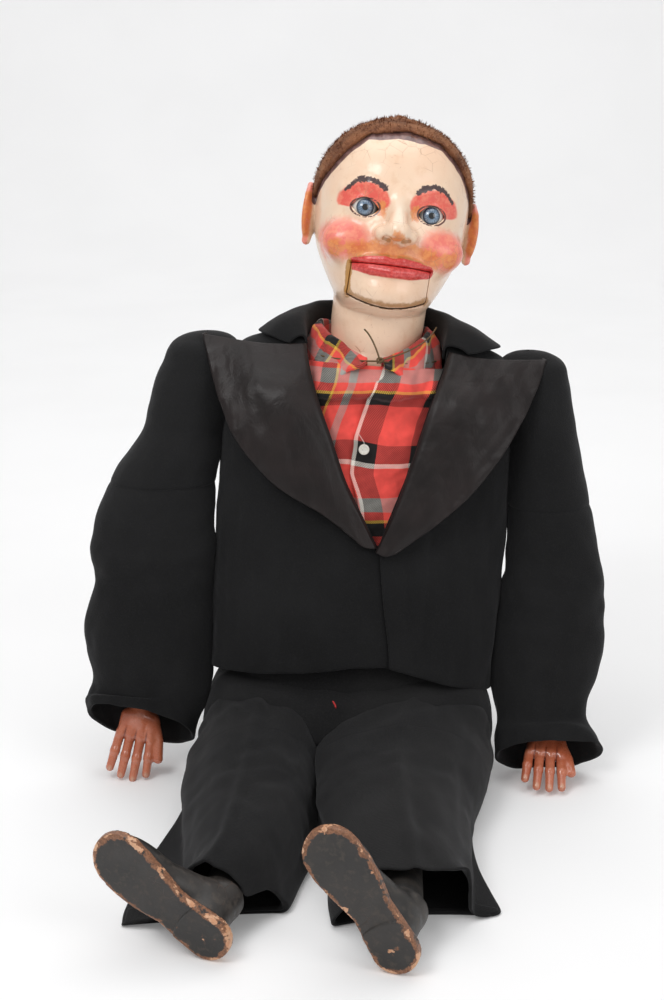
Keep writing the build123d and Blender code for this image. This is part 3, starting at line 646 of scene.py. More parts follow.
def skull(p, grow=0.0):
    """The bare egg of the head: flattened ovals in each section."""
    x, y, z = np.moveaxis(p, -1, 0)
    half, front, back = section(z[0, 0] if z.ndim == 3 else z)
    middle, depth = (front + back) / 2, (back - front) / 2
    half, depth = np.maximum(half + grow, 1), np.maximum(depth + grow, 1)
    power = np.float32(2.25)
    k = (np.abs(x / half) ** power + np.abs((y - middle) / depth) ** power) ** (1 / power)
    across = (k - 1) * np.minimum(half, depth)
    cap = np.maximum(SECTIONS[0, 0] - grow - z, z - SECTIONS[-1, 0] - grow)
    return np.maximum(across, cap)


def almond(p, eye, half_width, up, down):
    """A lid opening, seen from the front, as a field."""
    x, z = p[..., 0] - eye[0], p[..., 2] - eye[2]
    side = math.copysign(1, eye[0])
    lean = 1 - np.clip(np.abs(x) / half_width, 0, 1.4) ** 2
    return np.maximum(z - up * lean - 0.05 * side * x, -z - down * lean + 0.05 * side * x) * 0.75


LIP_TOP = [(-40, -71, 98.5), (-26, -82.5, 101.5), (-9, -89.5, 103), (0, -90, 101.6), (9, -89.5, 103),
        (26, -82.5, 101.5), (40, -71, 98.5)]
LIP_LOW = [(-37, -73, 96), (-22, -84.5, 92.5), (0, -90, 91), (22, -84.5, 92.5), (37, -73, 96)]


def string_of(p, points, radii):
    return np.minimum.reduce([limb(p, a, b, ra, rb) for a, b, ra,
            rb in zip(points, points[1:], radii, radii[1:])])


def features(p):
    """The modelled face: the egg with lids, brows, nose, cheeks, lips and chin."""
    f = skull(p)
    for s in (-1, 1):
        f = carve(f, ball(p, (s * 34, -97, 154), (21, 14, 15)), 8)
        f = join(f, ball(p, (s * 34, -67, 153), (17.5, 16.8, 15.5)), 5)
        f = join(f, string_of(p, [(s * 14, -81, 173), (s * 32, -79, 178), (s * 54, -62, 172)], (4, 5, 4)), 8)
        f = join(f, ball(p, (s * 48, -62, 119), (25, 20, 20)), 14)
        f = join(f, ball(p, (s * 14, -92, 128.5), (8.5, 10, 7.5)), 6)
    f = join(f, string_of(p, [(0, -80, 172), (0, -90, 150), (0, -100.5, 134)], (6.5, 8, 10.5)), 9)
    f = join(f, ball(p, (0, -101, 131.5), (11.5, 11, 9.5)), 5)
    f = join(f, ball(p, (0, -68, 71), (27, 20, 17)), 12)
    f = join(f, string_of(p, LIP_TOP, (2.5, 4.4, 5.0, 4.4, 5.0, 4.4, 2.5)), 3.5)
    f = join(f, string_of(p, LIP_LOW, (2.5, 5.2, 6.2, 5.2, 2.5)), 3.5)
    f = carve(f, limb(p, (0, -96, 119), (0, -95, 108), 2.5, 3.2), 4)
    for s in (-1, 1):
        f = carve(f, ball(p, (s * 9.5, -98, 123), (4.6, 5.5, 4)), 2.5)
    f = carve(f, string_of(p, [(-42, -74, 98.0), (-22, -92, 97.8), (0, -98, 97), (22, -92, 97.8),
            (42, -74, 98.0)], (1.2, 1.8, 2.0, 1.8, 1.2)), 1.5)
    return f


def ear(p, s):
    turn = np.array([[math.cos(0.42), s * math.sin(0.42), 0], [-s * math.sin(0.42), math.cos(0.42), 0],
            [0, 0, 1]], np.float32)
    q = (p - np.float32((s * 85.0, 6, 150))) @ turn.T
    q = q * np.float32((s, 1, 1))
    plate = ball(q, (0, 0, 0), (5.5, 17, 31))
    rim = string_of(q, [(0, -9, 18), (3.5, 2, 29), (6.0, 14, 22), (5.5, 16, 0), (1.5, 8, -20), (-1, -3, -30)],
            (3, 3.2, 3.4, 3.2, 3.6, 4.6))
    hollow = ball(q, (6.5, 1, 3), (5, 9, 18))
    return join(carve(plate, hollow, 3), rim, 3)


def chin_window(p, half, foot, top):
    """The space the jaw fills: straight sides and an arched foot."""
    x, y, z = np.moveaxis(p, -1, 0)
    return np.maximum(np.maximum(np.abs(x) - half, y + 50), np.maximum(foot + 0.0065 * x * x - z, z - top))


def head_field(p):
    f = features(p)
    neck = limb(p, (0, 1, 46), (0, 1, 92), NECK_R, NECK_R + 1)
    neck = np.minimum(neck, limb(p, (0, 1, 0), (0, 1, 48), 45.5, NECK_R))
    f = join(f, neck, 5)
    f = np.minimum(f, ball(p, (0, 0, 0), (46, 46, 46)))
    for s in (-1, 1):
        f = join(f, ear(p, s), 3)
    hollow = np.minimum(skull(p, -5.0), limb(p, (0, 1, -60), (0, 1, 96), 41, 41))
    f = np.maximum(f, -hollow)
    f = np.maximum(f, -chin_window(p, 40.5, 55.2, 97.8))
    for eye in EYES:
        f = np.maximum(f, -ball(p, eye, (14.6, 14.6, 14.6)))
        tunnel = np.maximum(almond(p, eye, 13.8, 9.6, 8.6), p[..., 1] - eye[1])
        f = carve(f, tunnel, 1.0)
    return f


def jaw_field(p):
    f = np.maximum(features(p), -skull(p, -5.0))
    return np.maximum(f, chin_window(p, 40.3, 56.2, 97.3))


def near(points, line, width):
    """1 on a line of (x, z) points in the face's front, falling to 0 at width."""
    line = np.asarray(line, float)
    best = np.full(len(points), 1e9)
    for a, b in zip(line, line[1:]):
        t = np.clip(((points - a) @ (b - a)) / ((b - a) @ (b - a)), 0, 1)
        best = np.minimum(best, np.linalg.norm(points - a - t[:, None] * (b - a), axis=1))
    return np.clip(1 - best / width, 0, 1)


HAIR_AT = (0, 31, 47, 61, 80, 96, 112, 130, 180)
HAIR_LOW = (236, 230, 210, 190, 176, 160, 138, 114, 104)


def hair_edge(p):
    """Height of the hair's lower edge round the head."""
    angle = np.degrees(np.arctan2(np.abs(p[..., 0]), -p[..., 1]))
    return np.interp(angle, HAIR_AT, HAIR_LOW) + 1.6 * wobble(p, 26, 5, 2)


def paint_face(piece, v):
    """Where each painted feature lies, from 0 to 1 at every vertex."""
    x, y, z = v.T
    front = np.clip((-y - 5) / 30, 0, 1)
    side, xz = np.abs(x), np.stack([np.abs(x), z], 1)
    put(piece, "paint_brow", np.maximum(near(xz, [(17, 174), (24, 179), (33, 182), (42, 181)], 5.6),
            near(xz, [(38, 182), (47, 178.5), (55, 170)], 3.4)) * front)
    lid = 1 - np.hypot((side - 36) / 26, (z - 160) / np.where(z > 160, 19, 12))
    opening = np.hypot((side - 34) / 13.8, (z - 153.5) / 9.2)
    put(piece, "paint_lid", np.clip(0.5 + 2.2 * lid, 0, 1) * ease(z, 149, 156) * front)
    put(piece, "paint_line", near(np.stack([opening, opening * 0], 1), [(1.04, 0), (1.08, 0)], 0.12) * front)
    blush = 1 - np.hypot((side - 52) / 33, (z - 120) / 25)
    put(piece, "paint_blush", np.clip(np.clip(0.3 + 1.3 * blush, 0, 1) * front + ease(side, 80, 86) * 0.75, 0,
            1))
    strip = np.clip(1.3 - np.abs(z - 112 + 0.06 * side) / 12, 0, 1) * ease(side, 68, 34) * front * ease(-y, 20,
            45)
    inner = np.clip(1 - np.hypot((side - 18) / 9, (z - 153) / 13), 0, 1) * 1.4 * front
    wing = np.clip(1 - np.hypot((side - 62) / 12, (z - 112) / 16), 0, 1) * front * 0.9
    ear_rim = ease(side, 80, 87) * ease(z, 118, 128) * ease(z, 178, 165) * 0.85
    nose_tip = np.clip(1.1 - np.hypot(x / 11, (z - 127) / 8), 0, 1) * ease(-y, 86, 94) * 0.75
    put(piece, "paint_orange", np.clip(strip + inner + wing + ear_rim + nose_tip, 0, 1))
    gap = np.clip(1.1 - np.abs(z - 58 - 0.0065 * x * x) / 6, 0, 1) * ease(-y, 44, 60) * ease(side, 48, 40)
    dabs = near(xz, [(5, 107), (16, 106.5), (30, 104), (39, 100)], 4.2) * front
    slots = np.clip(1 - np.abs(side - 40.5) / 5, 0, 1) * ease(z, 106, 96) * ease(z, 56, 64) * ease(-y, 40,
            50) * np.where(x < 0, 0.75, 0.3)
    nostril = near(xz, [(7, 122.5), (13, 123.5)], 3.4) * front * ease(-y, 80, 88)
    put(piece, "paint_wear", np.clip(gap * 0.75 + dabs * 0.8 + slots + nostril * 1.2, 0, 1))
    upper = near(xz, [(0, 100.6), (9, 102.2), (26, 100.8), (39, 98.4)], 6.0)
    lower = near(xz, [(0, 91.5), (20, 92.5), (37, 96.3)], 9.5)
    put(piece, "paint_lips", np.clip(np.maximum(upper * np.where(side > 30, 0.8, 1), lower) * 1.6, 0, 1)
            * ease(-y, 60, 68))
    above = (z - hair_edge(v) + 9.5) / 3
    put(piece, "paint_band", np.clip(above, 0, 1) * ease(z, 100, 165) * ease(side, 87, 83))
    filler = near(np.stack([x, z], 1), [(-43, 97), (-42, 84), (-41, 70)], 5.5) * ease(-y, 40, 55)
    put(piece, "paint_filler", filler)
    put(piece, "paint_pale", np.clip(1 - np.hypot(x / 11, (z - 150) / 30), 0, 1) * ease(-y, 70, 85)
            + ease(side, 50, 75) * 0.5 * ease(z, 200, 150))


def stand_in(piece, body, *nodes):
    """The piece rides the body and replaces CAD nodes."""
    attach(piece, body)
    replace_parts(piece, *nodes)
    return piece


head, head_points = carved("head", head_field, (-97, -117, -48), (97, 102, 264), 1.5, HEAD, FACE)
paint_face(head, head_points)
stand_in(head, "head", "head_shell")
jaw, jaw_points = carved("jaw", jaw_field, (-44, -104, 38), (44, -54, 104), 1.25, HEAD, FACE)
paint_face(jaw, jaw_points)
stand_in(jaw, "jaw", "jaw_shell")


def hair_field(p):
    egg = join(skull(p), string_of(p, [(0, 1, 60), (0, 1, 110)], (NECK_R, NECK_R)), 5)
    lumps = (0.9 * wobble(p, 34, 11, 2)).astype(np.float32)
    crown = skull((p - np.float32((0, 0, 150))) / np.float32((1.0, 1.0, 1.022)) + np.float32((0, 0, 150)))
    shell = np.maximum(np.minimum(egg - 4.2, crown) - lumps, -egg - 0.6)
    return np.maximum(shell, (hair_edge(p).astype(np.float32) - p[..., 2]) * 0.85)


hair, hair_points = carved("hair", hair_field, (-92, -98, 96), (92, 102, 272), 2.0, HEAD, HAIR)
stand_in(hair, "head", "hair_cap")


def fuzz(count):
    """Short fibres that stand out of the cap, and a few longer tufts."""
    rng = np.random.default_rng(7)
    v = hair_points[rng.integers(0, len(hair_points), count)]
    centre = np.array([0, 5, 160])
    out = v - centre
    out /= np.linalg.norm(out, axis=1)[:, None]
    keep = np.linalg.norm(v - centre, axis=1) > 62
    v, out = v[keep], out[keep]
    comb = np.cross(out, (1, 0, 0)) * -1 + rng.normal(size=v.shape) * 0.75
    way = out * rng.uniform(0.15, 0.8, (len(v), 1)) + comb * 0.7
    way /= np.linalg.norm(way, axis=1)[:, None]
    tuft = rng.random(len(v)) < 0.04
    length = rng.uniform(2.0, 4.6, len(v)) * np.where(tuft, 1.5, 1)
    wide = np.cross(way, out + 0.01)
    wide /= np.linalg.norm(wide, axis=1)[:, None] + 1e-6
    root, tip = v - out * 0.8, v + way * length[:, None]
    bend = (root + tip) / 2 + out * 0.5
    w = wide * 0.42
    points = np.stack([root - w, root + w, bend + w * 0.7, bend - w * 0.7, tip], 1).reshape(-1, 3)
    base = np.arange(len(v))[:, None] * 5
    quads, tris = base + np.array([[0, 1, 2, 3]]), base + np.array([[3, 2, 4]])
    mesh = bpy.data.meshes.new("hair_fuzz")
    mesh.from_pydata((HEAD(points) / 1000).tolist(), [], quads.tolist() + tris.tolist())
    mesh.materials.append(FUZZ)
    piece = bpy.data.objects.new("hair_fuzz", mesh)
    bpy.context.scene.collection.objects.link(piece)
    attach(piece, "head")


fuzz(15000)


# ---------------------------------------------------------------- eyes
def iris_cap(side, eye):
    """Painted iris under a slightly raised glass front."""
    rings, spokes, reach = 16, 48, math.asin(9.1 / 14.1)
    tilt = np.linspace(0, reach, rings)[:, None]
    turn = np.linspace(0, 2 * math.pi, spokes, endpoint=False)[None]
    radius = 14.12 + 0.75 * (1 - (tilt / reach) ** 2)
    v = np.stack([radius * np.sin(tilt) * np.cos(turn), -radius * np.cos(tilt) + 0 * turn, radius
            * np.sin(tilt) * np.sin(turn)], -1)
    piece = to_object(f"iris_{side}", HEAD(v.reshape(-1, 3) + eye), grid_faces(rings, spokes, True)[:, ::-1],
            IRIS)
    put(piece, "from_middle", (12.5 * np.sin(tilt) + 0 * turn).ravel())
    put(piece, "turn", (0 * tilt + turn).ravel())
    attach(piece, f"eye_{side}")


for side, eye in zip(("right", "left"), EYES):
    iris_cap(side, eye)


# ---------------------------------------------------------------- floor, backdrop and light
def studio():
    s = Shader("backdrop_paper", Roughness=0.9, Specular_IOR_Level=0.1)
    s.set(Base_Color=s.mix(s.band(s.noise(3, 2), 0.3, 0.7), (0.83, 0.83, 0.835), (0.85, 0.85, 0.855)))
    s.surface.inputs["Emission Color"].default_value = (1, 1, 1, 1)
    s.surface.inputs["Emission Strength"].default_value = 0.115
    bend = np.linspace(0, math.pi / 2, 60)
    y = np.concatenate([[-3400, -900], 2700 + 1100 * np.sin(bend), [3800]])
    z = np.concatenate([[0, 0], 1100 * (1 - np.cos(bend)), [3600]])
    x = np.array([-5000.0, 5000.0])
    v = np.stack([np.broadcast_to(x, (len(y), 2)), np.repeat(y[:, None], 2, 1), np.repeat(z[:, None], 2, 1)
            - 0.3], -1)
    floor = to_object("backdrop", v.reshape(-1, 3), grid_faces(len(y), 2), s.material)


def area_light(name, place, aim, size, power, colour=(1, 1, 1)):
    light = bpy.data.lights.new(name, "AREA")
    light.shape, light.size, light.size_y = "RECTANGLE", size[0], size[1]
    light.energy, light.color = power, colour
    lamp = bpy.data.objects.new(name, light)
    lamp.location = place
    lamp.rotation_euler = (Vector(aim) - Vector(place)).to_track_quat("-Z", "Y").to_euler()
    bpy.context.scene.collection.objects.link(lamp)


def world():
    scene_world = bpy.data.worlds.new("studio")
    scene_world.use_nodes = True
    back = scene_world.node_tree.nodes["Background"]
    back.inputs[0].default_value = (0.99, 0.985, 0.98, 1)
    back.inputs[1].default_value = 0.50
    bpy.context.scene.world = scene_world


studio()
world()
area_light("key", (-0.9, -1.3, 1.9), (0, 0, 0.35), (0.8, 0.8), 15)
area_light("fill", (1.5, -1.5, 1.3), (0, 0, 0.3), (1.2, 1.2), 9)
area_light("top", (0, 0.2, 2.4), (0, 0, 0.2), (2.0, 2.0), 18)
area_light("wall", (0, 2.2, 3.4), (0, 3.5, 0.9), (5.0, 1.2), 36)
bpy.context.scene.view_settings.view_transform = "Standard"


# ---------------------------------------------------------------- clothes on the torso
def along_levels(table, h):
    """Values at height h from rows of (height, value, ...), smoothly."""
    table = np.asarray(table, float)
    smooth = spline(table, 240)
    return [np.interp(h, smooth[:, 0], smooth[:, i]) for i in range(1, table.shape[1])]


# Level along the cloth, half width, depth, y of the middle and height: the jacket's girth, closing over the
# shoulders.
JACKET = [(40, 152, 82, 0, 40), (54, 152, 83, 0, 54), (110, 154, 84, 0, 110), (170, 154, 82, 0, 170),
        (228, 154, 79, 0, 228),
          (290, 153, 75, 0, 290), (335, 151, 69, 0, 335), (360, 148, 64, 1, 360), (378, 144, 58, 3, 378),
          (388, 134, 54, 5, 389),
          (396, 116, 51, 6, 397), (404, 92, 49, 7, 403), (412, 76, 48, 8, 406)]
SHIRT = [(140, 106, 62, 0, 140), (260, 112, 65, 0, 260), (325, 100, 63, 0, 325), (352, 84, 62, 0, 352),
        (374, 70, 58, 0, 374)]
WAIST = [(10, 128, 66, 0, 10), (40, 126, 66, 0, 40), (80, 122, 64, 0, 80)]
HEM_LINE = [(-152, 42), (-97, 44), (-43, 53), (0, 62), (31, 63), (83, 50), (125, 42), (150, 35)]


def round_body(levels, angle, level, grow=0.0):
    """A point on the girth: angle 0 is the front, 90 the figure's left, 180 the back."""
    half, depth, middle, height = along_levels(levels, level)
    a, power = np.radians(angle), 2 / 2.35
    sx, cy = np.sin(a), np.cos(a)
    x = (half + grow) * np.sign(sx) * np.abs(sx) ** power
    y = middle - (depth + grow) * np.sign(cy) * np.abs(cy) ** power
    return np.stack([x, y, np.broadcast_to(height, x.shape)], -1)


def angle_of(levels, x, level, back=False):
    half = along_levels(levels, level)[0]
    share = np.clip(np.abs(x) / half, 0, 1) ** (2.35 / 2)
    a = np.degrees(np.arcsin(share))
    return np.sign(x) * (180 - a if back else a)


# The jacket's front edges: h and x, under the lapels down to the closing point and then down the overlap.
EDGE = {"right": [(40, 38), (60, 37), (186, 20), (191, 15), (256, -22), (335, -55), (380, -70), (398, -74),
        (412, -75.5)],
        "left": [(40, 35), (60, 34), (186, 17), (191, 16), (260, 39), (343, 61), (380, 73), (398, 75),
        (412, 75.5)]}
SIDE = {"right": -1, "left": 1}


def jacket_panel(side):
    """One front with its half of the back: from the front edge round the side to the middle of the back."""
    s = SIDE[side]
    h = np.concatenate([np.linspace(41, 186, 34), np.linspace(190, 376, 40), np.linspace(380, 411.5, 18)])
    edge = np.interp(h, *np.array(EDGE[side]).T)
    start = angle_of(JACKET, edge, h)
    vent = np.where(h < 232, 47 * np.sqrt(np.clip(1 - (h / 236.0) ** 5, 0, 1)), 0.0)
    end = np.where(vent > 0, angle_of(JACKET, s * np.maximum(vent, 0.4), h, back=True), s * 180.0)
    t = np.linspace(0, 1, 110)
    angle = start[:, None] + (end - start)[:, None] * t[None]
    p = round_body(JACKET, angle, h[:, None])
    out = p.copy()
    out[..., 2] = 0
    out /= np.linalg.norm(out, axis=-1)[..., None]
    low = ease(h, 250, 90)[:, None]
    drape = 2.0 * wobble(p * (1, 1, 0.35), 80, 3 + s) * (0.4 + low) + 0.8 * wobble(p * (1, 1, 0.6), 34, 9 + s)
    side_folds = 2.6 * np.exp(-((np.abs(p[..., 0]) - 118) / 9) ** 2) * np.sin(p[..., 2] / 24) * ease(h, 120,
            200)[:, None] * (p[..., 1] < 20)
    dart = -1.6 * np.exp(-((p[..., 0] - s * 72) / 2.2) ** 2) * (ease(h, 60, 80) * ease(h, 235, 215))[:,
            None] * (p[..., 1] < 0)
    hem = 2.5 * ease(h, 62, 41)[:, None] * wobble(p, 60, 21 + s, 2)
    offset = drape + side_folds + dart + hem
    lap = np.exp(-(t / 0.05) ** 2)[None] * (h < 200)[:, None]
    offset = offset * (1 - 0.85 * np.exp(-(t / 0.03) ** 2)[None]) + (2.4 if side == "left" else -1.6) * lap
    p += out * offset[..., None]
    front = ease(-p[..., 1], -30, 30)
    hem_height = np.interp(p[..., 0], *np.array(HEM_LINE).T) * front + 44 * (1 - front)
    p[..., 2] += (hem_height - 41 + 1.5 * wobble(p, 90, 31, 2)) * ease(h, 150, 41)[:, None]
    piece = sheet_mesh(f"jacket_{side}", TORSO(p), WOOL, thickness=2.2)
    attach(piece, "torso")
    return piece


right_panel, left_panel = jacket_panel("right"), jacket_panel("left")
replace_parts(right_panel, "jacket_front_right", "jacket_back")
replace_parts(left_panel, "jacket_front_left")


def collar():
    """Wool collar: a stand round the back of the neck that falls over to the shoulders."""
    base = [(-72, -38, 384), (-72, -20, 392), (-68, 6, 400), (-54, 34, 402), (-27, 52, 402), (0, 58, 402)]
    inner = [(-71, -44, 393), (-74, -22, 410), (-70, 6, 420), (-56, 36, 427), (-28, 54, 430), (0, 60, 431)]
    fold = [(-75, -46, 398), (-80, -24, 416), (-77, 8, 426), (-61, 42, 432), (-31, 62, 435), (0, 68, 436)]
    fall = [(-82, -46, 397), (-98, -25, 411), (-99, 10, 417), (-76, 50, 418), (-38, 71, 416), (0, 77, 415)]
    edge = [(-88, -44, 391), (-114, -25, 397), (-121, 10, 400), (-96, 54, 396), (-48, 72, 388), (0, 77, 385)]
    lines = []
    for row, left in ((base, 1), (inner, 1), (fold, 1), (fall, 1.06), (edge, 1.10)):
        other = [(-x * left, y, z) for x, y, z in row[-2::-1]]
        lines.append(spline(row + other, 90))
    p = spline(np.array(lines), 26)
    p += 0.9 * wobble(p, 40, 12)[..., None] * np.array([0.3, 0.3, 1.0])
    piece = sheet_mesh("collar", TORSO(p), WOOL, thickness=2.6)
    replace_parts(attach(piece, "torso"), "jacket_collar")


collar()


# Each lapel: inner edge, middle and outer edge, from the closing point up to the notch and the peak.
LAPEL = {
    "right": ([(15, -87, 188), (-3, -88, 220), (-22, -86, 256), (-40, -83, 300), (-55, -78, 335),
    (-66, -64, 368), (-71, -48, 391)],
              [(2, -91, 189), (-24, -92, 222), (-56, -91, 258), (-84, -87, 300), (-100, -80, 340),
              (-108, -60, 364), (-118, -36, 388)],
              [(-6, -90, 195), (-44, -92, 221), (-92, -88, 246), (-133, -79, 286), (-154, -62, 324),
              (-168, -44, 360), (-179, -24, 393)]),
    "left": ([(14, -89, 184), (28, -90, 222), (39, -88, 258), (51, -84, 302), (61, -79, 340), (71, -63, 370),
    (77, -47, 392)],
             [(24, -92, 181), (50, -94, 215), (72, -92, 254), (92, -88, 298), (108, -80, 340), (112, -58, 366),
             (120, -36, 387)],
             [(33, -91, 184), (74, -92, 218), (106, -88, 250), (134, -79, 288), (156, -62, 328),
             (171, -42, 362), (180, -22, 390)])}


def lapel(side):
    """Wide satin peak lapel, rolled at its inner edge, with its outer edge turned under."""
    s = SIDE[side]
    inner, middle, outer = (spline(line, 70) for line in LAPEL[side])
    p = spline(np.stack([inner, middle, outer]), 64).transpose(1, 0, 2)
    u = np.linspace(0, 1, 64)[None]
    pucker = 1.5 * wobble(p * (1, 0.3, 0.6), 42, 14 + s) + 0.8 * wobble(p, 17, 17 + s,
            2) * np.exp(-((u - 0.97) / 0.10) ** 2)
    roll = -3.2 * np.exp(-(u / 0.06) ** 2)
    p[..., 1] -= pucker * (0.25 + u) + roll
    under_edge = p[:, -1:] + np.array([s * 1.4, 3.6, 0.0])
    under = p[:, -1:] + np.array([-s * 4.0, 6.2, 2.0])
    tuck = p[:, :1] + np.array([s * 1.0, 5.0, 0.0])
    p = np.concatenate([tuck, p, under_edge, under], 1)
    piece = sheet_mesh(f"lapel_{side}_satin", TORSO(p), SATIN, thickness=1.3)
    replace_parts(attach(piece, "torso"), f"lapel_{side}")


for side in SIDE:
    lapel(side)


def stripes_on(piece, u, v):
    """Where the cloth's stripes lie: u across them and v down, in millimetres."""
    put(piece, "u", u)
    put(piece, "v", v)


PLACKET = [(140, 2), (200, -1), (235, -8), (262, -17), (300, -15), (340, -5), (352, 0), (378, 6)]


def shirt_sheet(name, left, right, lift, side_of_edge):
    """Part of the shirt front between two x curves, over the chest."""
    h = np.linspace(150, 376, 76)
    a, b = angle_of(SHIRT, left(h), h), angle_of(SHIRT, right(h), h)
    angle = a[:, None] + (b - a)[:, None] * np.linspace(0, 1, 60)[None]
    p = round_body(SHIRT, angle, h[:, None], 3 + lift)
    roll_edge = 341 + 0.08 * p[..., 0] + 3 * wobble(p * (1, 0, 0), 40, 43)
    puff = ease(p[..., 2], roll_edge - 3, roll_edge + 5) * ease(p[..., 2], 380, 360)
    p[..., 1] -= puff * (10 + 3.5 * wobble(p * (1, 0, 0.6), 26, 41))
    p[..., 2] -= puff * 3
    p[..., 1] -= 1.6 * wobble(p * (1, 0, 0.7), 46, 40 + int(lift)) + 0.7 * wobble(p * (1, 0, 1.6), 15, 44, 2)
    p[..., 1] -= np.exp(-((p[..., 2] - 296 - p[..., 0] * 0.25) / 3.0) ** 2) * ease(p[..., 0], -5, 20)
    piece = sheet_mesh(name, TORSO(p), PLAID, thickness=0.9)
    distance = p[..., 0] - np.interp(p[..., 2], *np.array(PLACKET).T)
    across = distance if side_of_edge > 0 else distance + 114
    stripes_on(piece, across + 1.5 * wobble(p, 90, 50), p[..., 2] - 274 + 2.5 * wobble(p, 110, 51) - 0.05
            * distance)
    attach(piece, "torso")
    return piece


def placket(h):
    return np.interp(h, *np.array(PLACKET).T)


under_shirt = shirt_sheet("shirt", lambda h: h * 0 - 84.0 + ease(h, 300, 376) * 16, lambda h: placket(h) + 10,
        0.0, -1)
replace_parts(under_shirt, "shirt_front")
shirt_sheet("shirt_overlap", placket, lambda h: h * 0 + 86.0 - ease(h, 300, 376) * 16, 2.2, 1)


def shirt_collar_flaps():
    """Soft open collar: a stand round the neck, folded over, its points falling to each side of the knot."""
    turn = np.linspace(7, 353, 150)
    near_front = np.minimum(turn, 360 - turn)
    a = np.radians(turn)
    way = np.stack([np.sin(a), -np.cos(a)], -1)
    stand_low = np.interp(near_front, (7, 30, 60, 180), (358, 354, 366, 384))
    top = np.interp(near_front, (7, 20, 45, 70, 100, 180), (381, 386, 399, 408, 414, 415))
    tip = np.interp(near_front, (7, 15, 30, 45, 53, 62, 78, 95, 180),
            (377, 370, 357, 347, 345, 350, 366, 382, 396))
    lines = []
    for radius, height in ((54, stand_low), (55, (stand_low + top) / 2), (57, top - 3), (60, top),
            (65, top - 4),
                           (72, (top + tip) / 2 - 1), (76, tip + 2), (75, tip - 1), (71, tip + 1)):
        oval = radius * (1 + 0.03 * np.cos(2 * a))
        lines.append(np.stack([way[:, 0] * oval, way[:, 1] * oval + 1, height], -1))
    p = spline(np.array(lines), 44)
    lumps = 3.2 * wobble(p * (1, 1, 0.5), 34, 60) + 1.0 * wobble(p, 14, 61, 2)
    out = p * (1, 1, 0)
    out /= np.linalg.norm(out, axis=-1)[..., None]
    level = np.linspace(0, 1, 44)[:, None]
    p += out * (lumps * ease(level, 0.25, 0.5))[..., None]
    p[..., 2] += 1.8 * wobble(p, 30, 62) * ease(level, 0.15, 0.4)
    piece = sheet_mesh("shirt_collar_flaps", TORSO(p), PLAID, thickness=1.1)
    length = np.concatenate([np.zeros((1, 150)), np.cumsum(np.linalg.norm(np.diff(p, axis=0), axis=-1), 0)])
    around = np.broadcast_to(np.radians(turn) * 66, p.shape[:2])
    stripes_on(piece, around + length * 0.25 + 46, length + 22)
    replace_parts(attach(piece, "torso"), "shirt_collar")


shirt_collar_flaps()


def line(name, points, radius, material, body, slot, world_points=False):
    """A thin round thread through points, as a curve."""
    data = bpy.data.curves.new(name, "CURVE")
    data.dimensions, data.bevel_depth, data.bevel_resolution = "3D", radius / 1000, 3
    path = data.splines.new("NURBS")
    path.points.add(len(points) - 1)
    where = np.asarray(points, float) if world_points else TORSO(points)
    for point, place in zip(path.points, where / 1000):
        point.co = (*place, 1)
    path.order_u, path.use_endpoint_u = 3, True
    data.use_fill_caps = True
    piece = bpy.data.objects.new(name, data)
    data.materials.append(material)
    bpy.context.scene.collection.objects.link(piece)
    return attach(piece, body)


def neck_string():
    """Brown twine under the collar's fall, its knot in front, a stiff tail up and one across to the collar."""
    ring = [(70 * math.sin(a), -68 * math.cos(a) + 1, 377 + 10
            * (1 - math.cos(a)) / 2) for a in np.linspace(0.0, 2 * math.pi, 26)]
    ring[0], ring[-1] = (4, -71, 379), (7, -71, 379)
    twine = line("collar_twine", ring, 0.9, TWINE, "torso", "string")
    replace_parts(twine, "collar_string")
    line("twine_tail", [(5, -71, 379), (3, -72, 385), (-2, -70, 396), (-9, -66, 407), (-13, -64, 410)], 0.9,
            TWINE, "torso", "string")
    line("twine_branch", [(6, -71, 379), (14, -72, 383), (30, -68, 389), (46, -58, 398), (58, -44, 408),
            (62, -36, 416)], 0.8, TWINE, "torso", "string")
    knot = [(2, -72, 377), (8, -74, 379), (8, -71, 382), (2, -72, 382), (2, -74, 378), (7, -72, 377),
            (6, -70, 381)]
    line("twine_knot", knot, 1.0, TWINE, "torso", "string")


neck_string()


def shirt_button():
    """Four-hole button with a raised rim and thread across its holes."""
    rings = [(0.0, 1.5), (1.2, 1.5), (2.6, 1.55), (3.6, 1.7), (4.2, 2.3), (5.0, 2.4), (5.5, 1.7), (5.5, 0.6),
            (4.9, 0.0), (0.01, 0.0)]
    turns = np.linspace(0, 2 * math.pi, 48, endpoint=False)
    grid = np.array([[(r * math.cos(a), z, r * math.sin(a)) for a in turns] for r, z in rings])
    for x in (-1.35, 1.35):
        for z in (-1.35, 1.35):
            grid[:4, :, 1] -= 1.0 * np.exp(-((grid[:4, :, 0] - x) ** 2 + (grid[:4, :, 2] - z) ** 2) / 0.35)
    height = 288
    y = -66 - 3 - 5.2
    def place(p):
        return TORSO(np.stack([p[..., 0] - 5, y - p[..., 1], p[..., 2] + height], -1))
    piece = to_object("button", place(grid).reshape(-1, 3), grid_faces(len(rings), 48, True), BUTTON)
    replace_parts(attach(piece, "torso"), "shirt_button")
    for x in (-1.35, 1.35):
        line(f"button_thread_{'a' if x < 0 else 'b'}",
                [(x - 5, y - 1.0, height - 1.4), (x - 5, y - 2.4, height), (x - 5, y - 1.0, height + 1.4)],
             0.35, WHITE_THREAD, "torso", "string")
    line("loose_button_thread", [(-4, y - 1.5, height + 1.4), (-5, y - 3, height + 7), (-8, y - 2, height + 11),
            (-11, y - 1, height + 15)], 0.3, WHITE_THREAD, "torso", "string")


shirt_button()


